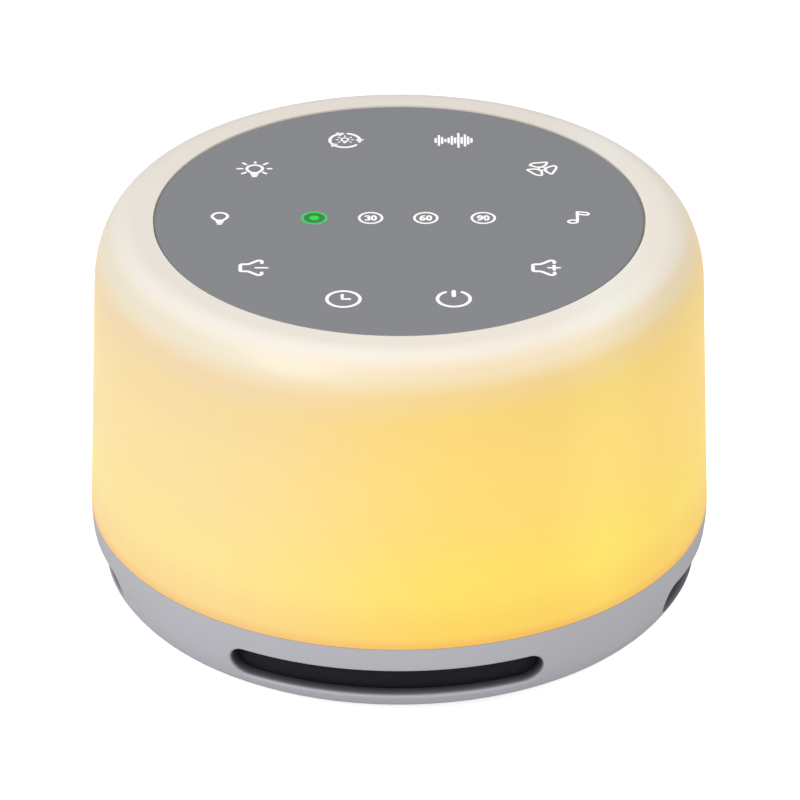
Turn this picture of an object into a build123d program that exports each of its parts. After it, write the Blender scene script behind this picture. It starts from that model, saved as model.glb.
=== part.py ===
from build123d import *
import os
from math import asin, cos, degrees, radians, sin, sqrt, tan

# White noise sound machine with a bedside lamp: a round grey base with sound slots, a translucent
# shade and a flush touch panel. Millimetres, +Z up, front towards -Y, origin on the standing
# surface under the middle.

os.makedirs("parts", exist_ok=True)

# ---------------------------------------------------------------- outside form
foot_stand = 1.5  # underside above the standing surface
base_depth = 14.1  # rounded base below the parting line
base_flare = 6.9  # edge of the flat underside inside the widest radius
base_wall = 2.4
parting_gap = 0.1  # hairline between shade and base
shade_draft = 1.3  # radius lost up the straight wall
shade_wall = 2.2
shoulder_height = 11.6
shoulder_width = 6.7
rim_width = 3.5  # flat rim round the panel

# ---------------------------------------------------------------- sound slots in the base
base_turn = -2.65  # base fitted this far round from the panel's reading direction
slot_height = 5.8
slot_rise = 3.35  # middle of the slots above the base's inner floor
front_slot_span = 60.8  # degrees, end to end
side_slot_span = 54.7
slot_edge_radius = 0.45
slot_cut_depth = 5.0

# ---------------------------------------------------------------- fits and screws
thread_play = 0.05  # radial, screw in its pilot hole
pass_play = 0.2  # radial, screw through a clearance hole
seat_play = 0.2  # radial, part dropped into a recess
small_screw_radius = 1.0
small_head_radius = 1.9
small_head_height = 1.3
large_screw_radius = 1.25
large_head_radius = 2.2
large_head_height = 1.6
drive_depth = 0.8  # cross recess in every head
drive_width = 0.55
head_round_share = 0.35  # of the head's height
tip_chamfer_share = 0.4  # of the shank's radius
blind_end = 0.5  # pilot hole past the screw's tip
chip_edge = 0.2  # chamfer round every chip

# ---------------------------------------------------------------- touch panel and its board
panel_thickness = 2.0
panel_set_down = 0.1
panel_edge_chamfer = 0.25
tape_thickness = 0.3
tape_inset = 0.6  # inside the panel's edge
tape_width = 3.2
ledge_width = 4.5  # under the panel's edge
ledge_thickness = 2.2
board_thickness = 1.6
touch_board_margin = 0.6  # past the panel's edge
touch_boss_length = 1.6
touch_boss_radius = 2.4
touch_boss_inset = 2.6  # inside the board's edge
icon_inset = 11.0  # touch marks inside the panel's edge
icon_count = 10
pad_radius = 3.4
timer_pitch = 9.45
timer_count = 4
led_length = 2.0
led_width = 1.25
led_height = 0.8
baffle_bore_radius = 2.6
baffle_wall = 1.2
touch_chip_size = 9.0
touch_chip_height = 1.4
touch_chip_place = (-14.0, 10.0)
ribbon_width = 8.0
ribbon_thickness = 0.3
ribbon_socket_width = 12.0
ribbon_socket_depth = 5.0
ribbon_socket_height = 2.0
ribbon_socket_y = -6.0
ribbon_reach = 4.0

# ---------------------------------------------------------------- chassis plate
chassis_drop = 1.6  # top face below the parting line
chassis_thickness = 2.0
chassis_play = 0.6  # radial, plate in the base
opening_inset = 1.8  # sound opening inside the surround's seat
shade_boss_radius = 3.7
shade_boss_height = 11.0
shade_boss_start = 53.0  # degrees round from the right, then every quarter turn
shade_boss_sink = 0.6  # boss let into the shade's wall
shade_screw_length = 9.0
cover_post_radius = 3.5
cover_post_start = 45.0
rib_start = 38.0
rib_width = 4.0
rib_length = 2.3  # under the plate's edge

# ---------------------------------------------------------------- loudspeaker
gasket_thickness = 0.8
speaker_side = 50.0
speaker_corner_radius = 9.0
flange_thickness = 1.0
speaker_screw_inset = 4.5  # in from each side
speaker_screw_length = 5.6
speaker_boss_radius = 2.5
surround_inset = 1.2  # seat's edge in from each side
surround_seat_depth = 0.4
surround_thickness = 0.3
surround_rim_width = 2.8
roll_width = 3.5
surround_lip_width = 1.5
basket_wall = 1.0
basket_height = 11.2
basket_shoulder_inset = 2.7
basket_shoulder_height = 4.5
basket_top_radius = 15.2
basket_arm_width = 5.0
frame_bore_play = 1.2  # radial, coil in the basket's top
spider_rise = 1.6  # seat above the cone's neck
spider_seat_inner_radius = 14.4
spider_thickness = 0.3
spider_wave_height = 0.5
spider_glue_width = 1.0
spider_wave_count = 4
terminal_reach = 22.6
terminal_width = 12.0
terminal_inner_radius = 18.6
terminal_board_thickness = 1.0
terminal_lug_pitch = 6.0
terminal_lug_radius = 20.6
terminal_lug_height = 2.6
terminal_lug_width = 2.0
terminal_lug_thickness = 0.5
plate_radius = 16.0
plate_thickness = 3.0
magnet_radius = 18.0
magnet_inner_radius = 9.5
magnet_thickness = 7.0
magnet_chamfer = 0.4
yoke_thickness = 3.0
yoke_edge = 1.0
pole_radius = 6.2
coil_gap = 0.3  # radial air between coil and iron on each side
former_thickness = 0.2
coil_thickness = 0.4
coil_height = 4.4
cone_thickness = 0.4
cone_lip_width = 1.4
cone_depth = 6.6
former_above_coil = 0.5
former_below_neck = 0.6
dust_cap_radius = 8.2
dust_cap_rise = 2.4
dust_cap_thickness = 0.3

# ---------------------------------------------------------------- speaker chamber
chamber_side_room = 8.0  # beyond the speaker's flat sides
chamber_wall = 2.0
chamber_headroom = 3.0
chamber_draft = 1.8
chamber_edge_fillet = 3.0
chamber_boss_sink = 0.2  # boss let into the chamber's wall
chamber_boss_radius = 2.8
chamber_boss_height = 12.0
chamber_screw_length = 9.0
chamber_gasket_thickness = 0.5
chamber_gasket_inset = 0.4  # clear of the bosses

# ---------------------------------------------------------------- lamp ring
light_board_room = 1.2  # radial, board round the chamber
light_board_width = 7.0
light_board_play = 0.3  # radial, board inside the shade's bosses
lamp_led_inset = 3.6  # middle of the lamps from the board's inner edge
lamp_led_count = 16
lamp_led_side = 5.0
lamp_led_height = 1.6
lamp_lens_radius = 1.9
lamp_lens_depth = 0.4
light_socket_angle = -112.5
light_screw_length = 4.4
light_boss_radius = 2.4
wire_notch_angle = 112.5
wire_notch_width = 6.0
wire_notch_depth = 2.6

# ---------------------------------------------------------------- main board
main_board_inset = 7.2  # inside the edge of the chamber's roof
main_post_height = 3.0
main_post_radius = 2.6
main_post_inset = 4.0  # inside the board's edge
main_screw_length = 4.6
board_room = 11.0  # main board's top to the touch board
controller_side = 9.0
controller_height = 1.4
controller_place = (-5.0, 6.5)
memory_side = 5.3
memory_height = 1.9
memory_place = (7.0, 12.5)
amplifier_length = 6.2
amplifier_width = 5.0
amplifier_height = 1.5
amplifier_place = (10.0, 3.5)
capacitor_radius = 3.15
capacitor_height = 6.0
capacitor_edge = 0.4
capacitor_pitch = 8.0
capacitor_place = (-17.5, 1.0)
inductor_side = 6.0
inductor_height = 3.0
inductor_edge = 0.3
inductor_corner = 1.5
inductor_place = (11.0, -8.0)
crystal_length = 5.0
crystal_width = 3.2
crystal_height = 1.2
crystal_corner = 0.6
crystal_place = (-5.0, 14.5)
socket_width = 6.0
socket_depth = 4.5
socket_height = 4.6
socket_wall = 0.7
socket_cavity = 3.6
ribbon_slot_depth = 3.0
speaker_socket_place = (16.5, 0.0)
power_socket_place = (3.0, 20.5)
lamp_socket_place = (-8.0, -19.5)

# ---------------------------------------------------------------- base, cover and feet
base_floor = 1.5  # inward flange over the cover
cover_thickness = 2.0
flange_width = 2.5  # over the cover's edge
mesh_play = 0.1  # glue between the cloth and the wall
mesh_thickness = 0.4
mesh_overlap = 3.0  # degrees past each end of a slot
cover_boss_radius = 4.5
cover_boss_height = 2.0
foot_radius = 5.5
foot_inset = 1.5  # inside the cover's edge
foot_recess = 0.6
foot_edge_fillet = 0.5
cover_head_depth = 1.6
cover_screw_length = 7.5
deflector_radius = 18.0
deflector_height = 5.0
deflector_tip_radius = 2.0
deflector_tip_round = 0.9
deflector_waist_radius = 9.0
deflector_waist_rise = 1.7
deflector_rim = 0.8

# ---------------------------------------------------------------- power inlet
usb_width = 8.94
usb_height = 3.26
usb_depth = 7.3
usb_shell_wall = 0.3
usb_back_wall = 1.0
usb_face_inset = 2.5  # mouth inside the widest radius
usb_opening_play = 0.35
usb_tongue_width = 6.7
usb_tongue_thickness = 0.7
usb_tongue_length = 4.6
usb_board_width = 17.0
usb_board_depth = 7.8
usb_board_setback = 1.4  # behind the mouth
usb_board_thickness = 1.2
usb_screw_pitch = 13.0
usb_screw_inset = 2.4  # from the board's inner edge
usb_screw_length = 3.0
usb_boss_radius = 2.2

# ---------------------------------------------------------------- wires
wire_radius = 0.65
wire_pair_pitch = 1.9
wire_run_share = 0.45  # arc taken from the shorter run at each bend
wire_slot_play = 0.4
wire_crest_drop = 2.0  # top of each loop below the touch board
socket_mouth_rise = 7.3  # where a wire turns down, above the main board
power_riser = (-14.35, 34.65)  # middle of the pair beside the chamber
light_riser = (-15.23, -36.77)
grommet_radius = 3.4
grommet_lip_radius = 4.4
grommet_lip_height = 1.0
grommet_offset = 0.6  # past the main board's edge

# ---------------------------------------------------------------- radii, from the speaker outwards
speaker_screw_pitch = speaker_side - 2 * speaker_screw_inset
surround_outer_radius = speaker_side / 2 - surround_inset
roll_outer_radius = surround_outer_radius - surround_rim_width
roll_inner_radius = roll_outer_radius - roll_width
surround_lip_radius = roll_inner_radius - surround_lip_width
basket_foot_radius = surround_outer_radius - basket_wall / 2
basket_shoulder_radius = basket_foot_radius - basket_shoulder_inset
former_inner_radius = pole_radius + coil_gap
former_outer_radius = former_inner_radius + former_thickness
coil_outer_radius = former_outer_radius + coil_thickness
plate_bore_radius = coil_outer_radius + coil_gap
chassis_opening_radius = surround_outer_radius - opening_inset
chamber_inner_radius = speaker_side / 2 + chamber_side_room
chamber_outer_radius = chamber_inner_radius + chamber_wall
chamber_boss_circle = chamber_inner_radius - chamber_boss_radius + chamber_boss_sink
roof_inner_radius = chamber_inner_radius - chamber_draft
roof_outer_radius = chamber_outer_radius - chamber_draft
main_board_radius = roof_outer_radius - main_board_inset
main_post_circle = main_board_radius - main_post_inset
grommet_x = main_board_radius + grommet_offset
light_board_inner_radius = chamber_outer_radius + light_board_room
light_board_outer_radius = light_board_inner_radius + light_board_width
lamp_led_circle = light_board_inner_radius + lamp_led_inset
boss_circle = light_board_outer_radius + light_board_play + shade_boss_radius
boss_reach = shade_boss_radius - shade_boss_sink + shade_wall  # to the outside of the shade
body_radius = boss_circle + boss_reach
shoulder_radius = body_radius - shade_draft
crown_radius = shoulder_radius - shoulder_width
panel_radius = crown_radius - rim_width
tape_outer_radius = panel_radius - tape_inset
tape_inner_radius = tape_outer_radius - tape_width
ledge_inner_radius = panel_radius - ledge_width
touch_board_radius = panel_radius + touch_board_margin
touch_boss_circle = touch_board_radius - touch_boss_inset
icon_circle = panel_radius - icon_inset
chassis_radius = body_radius - base_wall - chassis_play
rib_inner_radius = chassis_radius - rib_length
underside_radius = body_radius - base_flare
cover_radius = underside_radius - base_wall - seat_play
flange_inner_radius = cover_radius - flange_width
cover_post_circle = cover_radius - foot_radius - foot_inset
usb_face_y = body_radius - usb_face_inset
usb_board_front_y = usb_face_y - usb_board_setback
usb_board_back_y = usb_board_front_y - usb_board_depth
usb_screw_y = usb_board_back_y + usb_screw_inset

# ---------------------------------------------------------------- levels, from the feet upwards
cover_bottom = foot_stand
cover_top = cover_bottom + cover_thickness
flange_top = cover_top + base_floor
slot_centre_level = flange_top + slot_rise
post_foot_level = cover_top + cover_boss_height
foot_top = cover_bottom + foot_recess
cover_screw_seat = foot_top + cover_head_depth
usb_board_top = slot_centre_level - usb_height / 2
usb_board_bottom = usb_board_top - usb_board_thickness
split_level = foot_stand + base_depth
chassis_top = split_level - chassis_drop
chassis_bottom = chassis_top - chassis_thickness
light_board_top = chassis_top + board_thickness
gasket_bottom = chassis_top
flange_front = gasket_bottom + gasket_thickness
flange_back = flange_front + flange_thickness
surround_level = flange_front + surround_seat_depth
cone_rim_level = surround_level
cone_neck_level = cone_rim_level + cone_depth
spider_seat_level = cone_neck_level + spider_rise
basket_top = flange_back + basket_height
plate_top = basket_top + plate_thickness
coil_middle = basket_top + plate_thickness / 2
magnet_top = plate_top + magnet_thickness
speaker_back = magnet_top + yoke_thickness
chamber_bottom = chassis_top + chamber_gasket_thickness
chamber_roof = speaker_back + chamber_headroom
chamber_top = chamber_roof + chamber_wall
main_board_bottom = chamber_top + main_post_height
main_board_top = main_board_bottom + board_thickness
touch_board_bottom = main_board_top + board_room
touch_board_top = touch_board_bottom + board_thickness
ledge_underside = touch_board_top + touch_boss_length
recess_level = ledge_underside + ledge_thickness
panel_bottom = recess_level + tape_thickness
top_level = panel_bottom + panel_thickness + panel_set_down
shoulder_level = top_level - shoulder_height
wire_crest_level = touch_board_bottom - wire_crest_drop
socket_mouth_level = main_board_top + socket_mouth_rise


def base_plane(level):
    """Level plane of the base, turned with it."""
    return Plane.XY.rotated((0, 0, base_turn)).offset(level)


def down_plane(level):
    """Level plane of the base that faces down."""
    return Plane(origin=(0, 0, level), x_dir=base_plane(level).x_dir, z_dir=(0, 0, -1))


def radial_plane(angle, radius, level):
    """Upright plane of the base that faces outwards at an angle and a radius."""
    outwards = Vector(cos(radians(angle + base_turn)), sin(radians(angle + base_turn)), 0)
    return Plane(origin=outwards * radius + Vector(0, 0, level), x_dir=(-outwards.Y, outwards.X, 0),
                 z_dir=outwards)


def base_curve_radius(level, wall):
    """Radius of the base's elliptical side at a level, a wall's thickness inside it."""
    across = body_radius - underside_radius - wall
    down = base_depth - wall
    return underside_radius + across * sqrt(1 - ((split_level - level) / down) ** 2)


def shade_inner_radius(level):
    """Inner radius of the shade's straight wall at a level."""
    rise = (level - split_level) / (shoulder_level - split_level)
    return body_radius - shade_wall - shade_draft * rise


def bend_radii(points):
    """As large an arc at each corner of a route as its two runs allow."""
    radii = []
    for before, corner, after in zip(points, points[1:], points[2:]):
        first = Vector(*corner) - Vector(*before)
        second = Vector(*after) - Vector(*corner)
        turn = radians(first.get_angle(second))
        shorter = min(first.length, second.length)
        radii.append(wire_run_share * shorter / tan(turn / 2))
    return radii


def wire(points):
    """One insulated wire along a route of straight runs joined by tangent arcs."""
    with BuildPart() as insulated:
        with BuildLine():
            route = FilletPolyline(*points, radius=bend_radii(points))
        with BuildSketch(Plane(origin=route @ 0, z_dir=route % 0)):
            Circle(wire_radius)
        sweep(path=route)
    return insulated.part


def screw(head_radius, head_height, shank_radius, length):
    """Pan head screw pointing up from the underside of its head at the origin."""
    with BuildPart() as fastener:
        with BuildSketch(Plane.XY):
            Circle(head_radius)
        extrude(amount=-head_height)
        fillet(fastener.edges().sort_by(Axis.Z)[0], head_height * head_round_share)
        with BuildSketch(Plane.XY.offset(-head_height)):
            Rectangle(2 * head_radius * drive_width, drive_width)
            Rectangle(drive_width, 2 * head_radius * drive_width)
        extrude(amount=drive_depth, mode=Mode.SUBTRACT)
        with BuildSketch(Plane.XY):
            Circle(shank_radius)
        extrude(amount=length)
        chamfer(fastener.edges().sort_by(Axis.Z)[-1], shank_radius * tip_chamfer_share)
    return fastener.part


# ================================================================ lamp shade
inner_shoulder_across = shoulder_radius - crown_radius - shade_wall
inner_shoulder_up = shoulder_height - shade_wall
recess_radius = panel_radius + seat_play
ledge_outer_radius = recess_radius + shade_wall
shade_bottom = split_level + parting_gap
inner_roof = top_level - shade_wall

with BuildPart() as lamp_shade:
    with BuildSketch(Plane.XZ):
        with BuildLine():
            Line((body_radius, shade_bottom), (shoulder_radius, shoulder_level))
            EllipticalCenterArc((crown_radius, shoulder_level), shoulder_radius - crown_radius,
                                shoulder_height, 0, arc_size=90)
            Polyline((crown_radius, top_level), (recess_radius, top_level),
                     (recess_radius, recess_level), (ledge_inner_radius, recess_level),
                     (ledge_inner_radius, ledge_underside), (ledge_outer_radius, ledge_underside),
                     (ledge_outer_radius, inner_roof), (crown_radius, inner_roof))
            EllipticalCenterArc((crown_radius, shoulder_level), inner_shoulder_across,
                                inner_shoulder_up, 90, arc_size=-90)
            Polyline((shade_inner_radius(shoulder_level), shoulder_level),
                     (shade_inner_radius(shade_bottom), shade_bottom), (body_radius, shade_bottom))
        make_face()
    revolve(axis=Axis.Z)
    # bosses for the screws that come up through the chassis
    with BuildSketch(base_plane(shade_bottom)):
        with PolarLocations(boss_circle, 4, start_angle=shade_boss_start):
            Circle(shade_boss_radius)
    extrude(amount=shade_boss_height)
    with BuildSketch(base_plane(chassis_top)):
        with PolarLocations(boss_circle, 4, start_angle=shade_boss_start):
            Circle(shade_boss_radius)
        Circle(chassis_radius, mode=Mode.INTERSECT)
    extrude(amount=shade_bottom - chassis_top)
    # bosses under the ledge for the touch board
    with BuildSketch(Plane.XY.offset(ledge_underside)):
        with PolarLocations(touch_boss_circle, 4, start_angle=cover_post_start):
            Circle(touch_boss_radius)
    extrude(amount=-touch_boss_length)
    with BuildSketch(Plane.XY.offset(touch_board_top)):
        with PolarLocations(touch_boss_circle, 4, start_angle=cover_post_start):
            Circle(small_screw_radius + thread_play)
    extrude(amount=touch_boss_length + ledge_thickness - blind_end, mode=Mode.SUBTRACT)
    with BuildSketch(base_plane(chassis_top)):
        with PolarLocations(boss_circle, 4, start_angle=shade_boss_start):
            Circle(large_screw_radius + thread_play)
    extrude(amount=shade_screw_length - chassis_thickness + blind_end, mode=Mode.SUBTRACT)
lamp_shade.part.label = "lamp_shade"
export_step(lamp_shade.part, "parts/lamp_shade.step")

# ================================================================ touch panel and what is under it
with BuildPart() as touch_panel:
    with BuildSketch(Plane.XY.offset(panel_bottom)):
        Circle(panel_radius)
    extrude(amount=panel_thickness)
    chamfer(touch_panel.edges().sort_by(Axis.Z)[-1], panel_edge_chamfer)
touch_panel.part.label = "touch_panel"
export_step(touch_panel.part, "parts/touch_panel.step")

with BuildPart() as panel_adhesive:
    with BuildSketch(Plane.XY.offset(recess_level)):
        Circle(tape_outer_radius)
        Circle(tape_inner_radius, mode=Mode.SUBTRACT)
    extrude(amount=tape_thickness)
panel_adhesive.part.label = "panel_adhesive"
export_step(panel_adhesive.part, "parts/panel_adhesive.step")

with BuildPart() as touch_board:
    with BuildSketch(Plane.XY.offset(touch_board_bottom)):
        Circle(touch_board_radius)
        with PolarLocations(touch_boss_circle, 4, start_angle=cover_post_start):
            Circle(small_screw_radius + pass_play, mode=Mode.SUBTRACT)
    extrude(amount=board_thickness)
touch_board.part.label = "touch_board"
export_step(touch_board.part, "parts/touch_board.step")

with BuildPart() as touch_pads:
    with BuildSketch(Plane.XY.offset(touch_board_top)):
        with PolarLocations(icon_circle, icon_count):
            Circle(pad_radius)
    extrude(amount=panel_bottom - touch_board_top)
touch_pads.part.label = "touch_pads"
export_step(touch_pads.part, "parts/touch_pads.step")

with BuildPart() as timer_leds:
    with BuildSketch(Plane.XY.offset(touch_board_top)):
        with GridLocations(timer_pitch, timer_pitch, timer_count, 1):
            Rectangle(led_length, led_width)
    extrude(amount=led_height)
timer_leds.part.label = "timer_leds"
export_step(timer_leds.part, "parts/timer_leds.step")

with BuildPart() as led_baffle:
    with BuildSketch(Plane.XY.offset(touch_board_top)):
        SlotCenterToCenter(timer_pitch * (timer_count - 1), 2 * (baffle_bore_radius + baffle_wall))
        with GridLocations(timer_pitch, timer_pitch, timer_count, 1):
            Circle(baffle_bore_radius, mode=Mode.SUBTRACT)
    extrude(amount=panel_bottom - touch_board_top)
led_baffle.part.label = "led_baffle"
export_step(led_baffle.part, "parts/led_baffle.step")

with BuildPart() as touch_chip:
    with BuildSketch(Plane.XY.offset(touch_board_bottom)):
        with Locations(touch_chip_place):
            Rectangle(touch_chip_size, touch_chip_size)
    extrude(amount=-touch_chip_height)
    chamfer(touch_chip.faces().sort_by(Axis.Z)[0].edges(), chip_edge)
touch_chip.part.label = "touch_chip"
export_step(touch_chip.part, "parts/touch_chip.step")

with BuildPart() as touch_socket:
    with BuildSketch(Plane.XY.offset(touch_board_bottom)):
        with Locations((0, ribbon_socket_y)):
            Rectangle(ribbon_socket_width, ribbon_socket_depth)
    extrude(amount=-ribbon_socket_height)
    with BuildSketch(Plane.XZ.offset(ribbon_socket_depth / 2 - ribbon_socket_y)):
        with Locations((0, touch_board_bottom - ribbon_socket_height / 2)):
            Rectangle(ribbon_width + 2 * thread_play, ribbon_thickness + 2 * thread_play)
    extrude(amount=-ribbon_slot_depth, mode=Mode.SUBTRACT)
touch_socket.part.label = "touch_socket"
export_step(touch_socket.part, "parts/touch_socket.step")

small_screw = screw(small_head_radius, small_head_height, small_screw_radius,
                    touch_boss_length + board_thickness + ledge_thickness - 2 * blind_end)
with BuildPart() as touch_board_screws:
    with Locations(Plane.XY.offset(touch_board_bottom)):
        with PolarLocations(touch_boss_circle, 4, start_angle=cover_post_start):
            add(small_screw)
touch_board_screws.part.label = "touch_board_screws"
export_step(touch_board_screws.part, "parts/touch_board_screws.step")

# ================================================================ chassis
speaker_boss_bottom = flange_back - speaker_screw_length - blind_end
light_boss_bottom = light_board_top - light_screw_length - blind_end
chamber_screw_hole = large_screw_radius + pass_play
wire_channel_radius = light_board_inner_radius + wire_notch_depth / 2

with BuildPart() as chassis:
    with BuildSketch(base_plane(chassis_bottom)):
        Circle(chassis_radius)
        Circle(chassis_opening_radius, mode=Mode.SUBTRACT)
    extrude(amount=chassis_thickness)
    # posts down to the cover's bosses
    with BuildSketch(base_plane(chassis_bottom)):
        with PolarLocations(cover_post_circle, 4, start_angle=cover_post_start):
            Circle(cover_post_radius)
    extrude(amount=post_foot_level - chassis_bottom)
    with BuildSketch(base_plane(chassis_bottom)):
        with GridLocations(speaker_screw_pitch, speaker_screw_pitch, 2, 2):
            Circle(speaker_boss_radius)
    extrude(amount=speaker_boss_bottom - chassis_bottom)
    with BuildSketch(base_plane(chassis_bottom)):
        with PolarLocations(lamp_led_circle, 4):
            Circle(light_boss_radius)
    extrude(amount=light_boss_bottom - chassis_bottom)
    with BuildSketch(base_plane(post_foot_level)):
        with PolarLocations(cover_post_circle, 4, start_angle=cover_post_start):
            Circle(large_screw_radius + thread_play)
    extrude(amount=cover_screw_length - (post_foot_level - cover_screw_seat) + blind_end,
            mode=Mode.SUBTRACT)
    with BuildSketch(base_plane(chassis_top)):
        with GridLocations(speaker_screw_pitch, speaker_screw_pitch, 2, 2):
            Circle(small_screw_radius + thread_play)
        with PolarLocations(lamp_led_circle, 4):
            Circle(small_screw_radius + thread_play)
    extrude(amount=speaker_boss_bottom + blind_end - chassis_top, mode=Mode.SUBTRACT)
    with BuildSketch(base_plane(chassis_top)):
        with PolarLocations(chamber_boss_circle, 4):
            Circle(chamber_screw_hole)
        with PolarLocations(boss_circle, 4, start_angle=shade_boss_start):
            Circle(large_screw_radius + pass_play)
        with PolarLocations(wire_channel_radius, 1, start_angle=wire_notch_angle):
            SlotCenterToCenter(wire_pair_pitch, 2 * (wire_radius + wire_slot_play), rotation=90)
    extrude(amount=-chassis_thickness, mode=Mode.SUBTRACT)
chassis.part.label = "chassis"
export_step(chassis.part, "parts/chassis.step")

shade_screw = screw(large_head_radius, large_head_height, large_screw_radius, shade_screw_length)
with BuildPart() as shade_screws:
    with Locations(base_plane(chassis_bottom)):
        with PolarLocations(boss_circle, 4, start_angle=shade_boss_start):
            add(shade_screw)
shade_screws.part.label = "shade_screws"
export_step(shade_screws.part, "parts/shade_screws.step")

# ================================================================ loudspeaker, facing down
with BuildPart() as speaker_gasket:
    with BuildSketch(base_plane(gasket_bottom)):
        RectangleRounded(speaker_side, speaker_side, speaker_corner_radius)
        Circle(surround_outer_radius, mode=Mode.SUBTRACT)
        with GridLocations(speaker_screw_pitch, speaker_screw_pitch, 2, 2):
            Circle(small_screw_radius + pass_play, mode=Mode.SUBTRACT)
    extrude(amount=gasket_thickness)
speaker_gasket.part.label = "speaker_gasket"
export_step(speaker_gasket.part, "parts/speaker_gasket.step")

basket_shoulder_level = flange_back + basket_shoulder_height
basket_top_inner = basket_top_radius - basket_wall
spider_outer_radius = basket_top_radius + basket_wall
frame_bore_radius = coil_outer_radius + frame_bore_play
window_top = spider_seat_level - basket_wall

with BuildPart() as speaker_frame:
    with BuildSketch(base_plane(flange_front)):
        RectangleRounded(speaker_side, speaker_side, speaker_corner_radius)
        Circle(roll_outer_radius, mode=Mode.SUBTRACT)
        with GridLocations(speaker_screw_pitch, speaker_screw_pitch, 2, 2):
            Circle(small_screw_radius + pass_play, mode=Mode.SUBTRACT)
    extrude(amount=flange_thickness)
    with BuildSketch(base_plane(flange_front)):
        Circle(surround_outer_radius)
    extrude(amount=surround_seat_depth, mode=Mode.SUBTRACT)
    # basket: a stepped bell from the flange up to the top plate, with a seat for the spider
    with BuildSketch(Plane.XZ):
        with BuildLine():
            Polyline((basket_foot_radius - basket_wall, flange_back),
                     (basket_foot_radius, flange_back),
                     (basket_shoulder_radius, basket_shoulder_level),
                     (spider_outer_radius + basket_wall, spider_seat_level + basket_wall),
                     (basket_top_radius, basket_top),
                     (frame_bore_radius, basket_top),
                     (frame_bore_radius, basket_top - basket_wall),
                     (basket_top_inner, basket_top - basket_wall),
                     (spider_seat_inner_radius, spider_seat_level),
                     (spider_outer_radius, spider_seat_level),
                     (basket_shoulder_radius - basket_wall, basket_shoulder_level),
                     (basket_foot_radius - basket_wall, flange_back))
        make_face()
    revolve(axis=Axis.Z)
    # windows between the four arms
    with BuildSketch(base_plane(flange_back + basket_wall)):
        Circle(speaker_side / 2)
        Circle(spider_outer_radius, mode=Mode.SUBTRACT)
        with PolarLocations(0, 2, angular_range=180):
            Rectangle(speaker_side, basket_arm_width, mode=Mode.SUBTRACT)
    extrude(amount=window_top - flange_back - basket_wall, mode=Mode.SUBTRACT)
    # tab for the terminals, on the right
    with BuildSketch(base_plane(basket_top - basket_wall)):
        with Locations(((basket_top_inner + terminal_reach) / 2, 0)):
            Rectangle(terminal_reach - basket_top_inner, terminal_width)
    extrude(amount=basket_wall)
speaker_frame.part.label = "speaker_frame"
export_step(speaker_frame.part, "parts/speaker_frame.step")

speaker_screw = screw(small_head_radius, small_head_height, small_screw_radius,
                      speaker_screw_length)
with BuildPart() as speaker_screws:
    with Locations(down_plane(flange_back)):
        with GridLocations(speaker_screw_pitch, speaker_screw_pitch, 2, 2):
            add(speaker_screw)
speaker_screws.part.label = "speaker_screws"
export_step(speaker_screws.part, "parts/speaker_screws.step")

with BuildPart() as top_plate:
    with BuildSketch(Plane.XY.offset(basket_top)):
        Circle(plate_radius)
        Circle(plate_bore_radius, mode=Mode.SUBTRACT)
    extrude(amount=plate_thickness)
top_plate.part.label = "top_plate"
export_step(top_plate.part, "parts/top_plate.step")

with BuildPart() as ring_magnet:
    with BuildSketch(Plane.XY.offset(plate_top)):
        Circle(magnet_radius)
        Circle(magnet_inner_radius, mode=Mode.SUBTRACT)
    extrude(amount=magnet_thickness)
    chamfer(ring_magnet.edges(), magnet_chamfer)
ring_magnet.part.label = "ring_magnet"
export_step(ring_magnet.part, "parts/ring_magnet.step")

with BuildPart() as pole_yoke:
    with BuildSketch(Plane.XY.offset(magnet_top)):
        Circle(plate_radius)
    extrude(amount=yoke_thickness)
    fillet(pole_yoke.edges().sort_by(Axis.Z)[-1], yoke_edge)
    with BuildSketch(Plane.XY.offset(basket_top)):
        Circle(pole_radius)
    extrude(amount=magnet_top - basket_top)
pole_yoke.part.label = "pole_yoke"
export_step(pole_yoke.part, "parts/pole_yoke.step")

with BuildPart() as speaker_terminals:
    with BuildSketch(base_plane(basket_top)):
        with Locations(((terminal_inner_radius + terminal_reach) / 2, 0)):
            Rectangle(terminal_reach - terminal_inner_radius, terminal_width)
    extrude(amount=terminal_board_thickness)
    with BuildSketch(base_plane(basket_top + terminal_board_thickness)):
        with Locations((terminal_lug_radius, 0)):
            with GridLocations(terminal_lug_pitch, terminal_lug_pitch, 1, 2):
                Rectangle(terminal_lug_thickness, terminal_lug_width)
    extrude(amount=terminal_lug_height)
speaker_terminals.part.label = "speaker_terminals"
export_step(speaker_terminals.part, "parts/speaker_terminals.step")

# ---- the moving cone, its coil and the two soft rings that carry them
former_bottom = cone_neck_level - former_below_neck
coil_bottom = coil_middle - coil_height / 2
former_top = coil_bottom + coil_height + former_above_coil
neck_radius = former_outer_radius
cone_slope = (roll_inner_radius - cone_lip_width - neck_radius) / cone_depth
cap_edge_level = cone_neck_level - (dust_cap_radius - neck_radius) / cone_slope

with BuildPart() as speaker_cone:
    with BuildSketch(Plane.XZ):
        with BuildLine():
            Polyline((roll_inner_radius, cone_rim_level),
                     (roll_inner_radius, cone_rim_level + cone_thickness),
                     (roll_inner_radius - cone_lip_width, cone_rim_level + cone_thickness),
                     (neck_radius, cone_neck_level + cone_thickness),
                     (neck_radius, cone_neck_level),
                     (roll_inner_radius - cone_lip_width, cone_rim_level),
                     (roll_inner_radius, cone_rim_level))
        make_face()
    revolve(axis=Axis.Z)
speaker_cone.part.label = "speaker_cone"
export_step(speaker_cone.part, "parts/speaker_cone.step")

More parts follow.
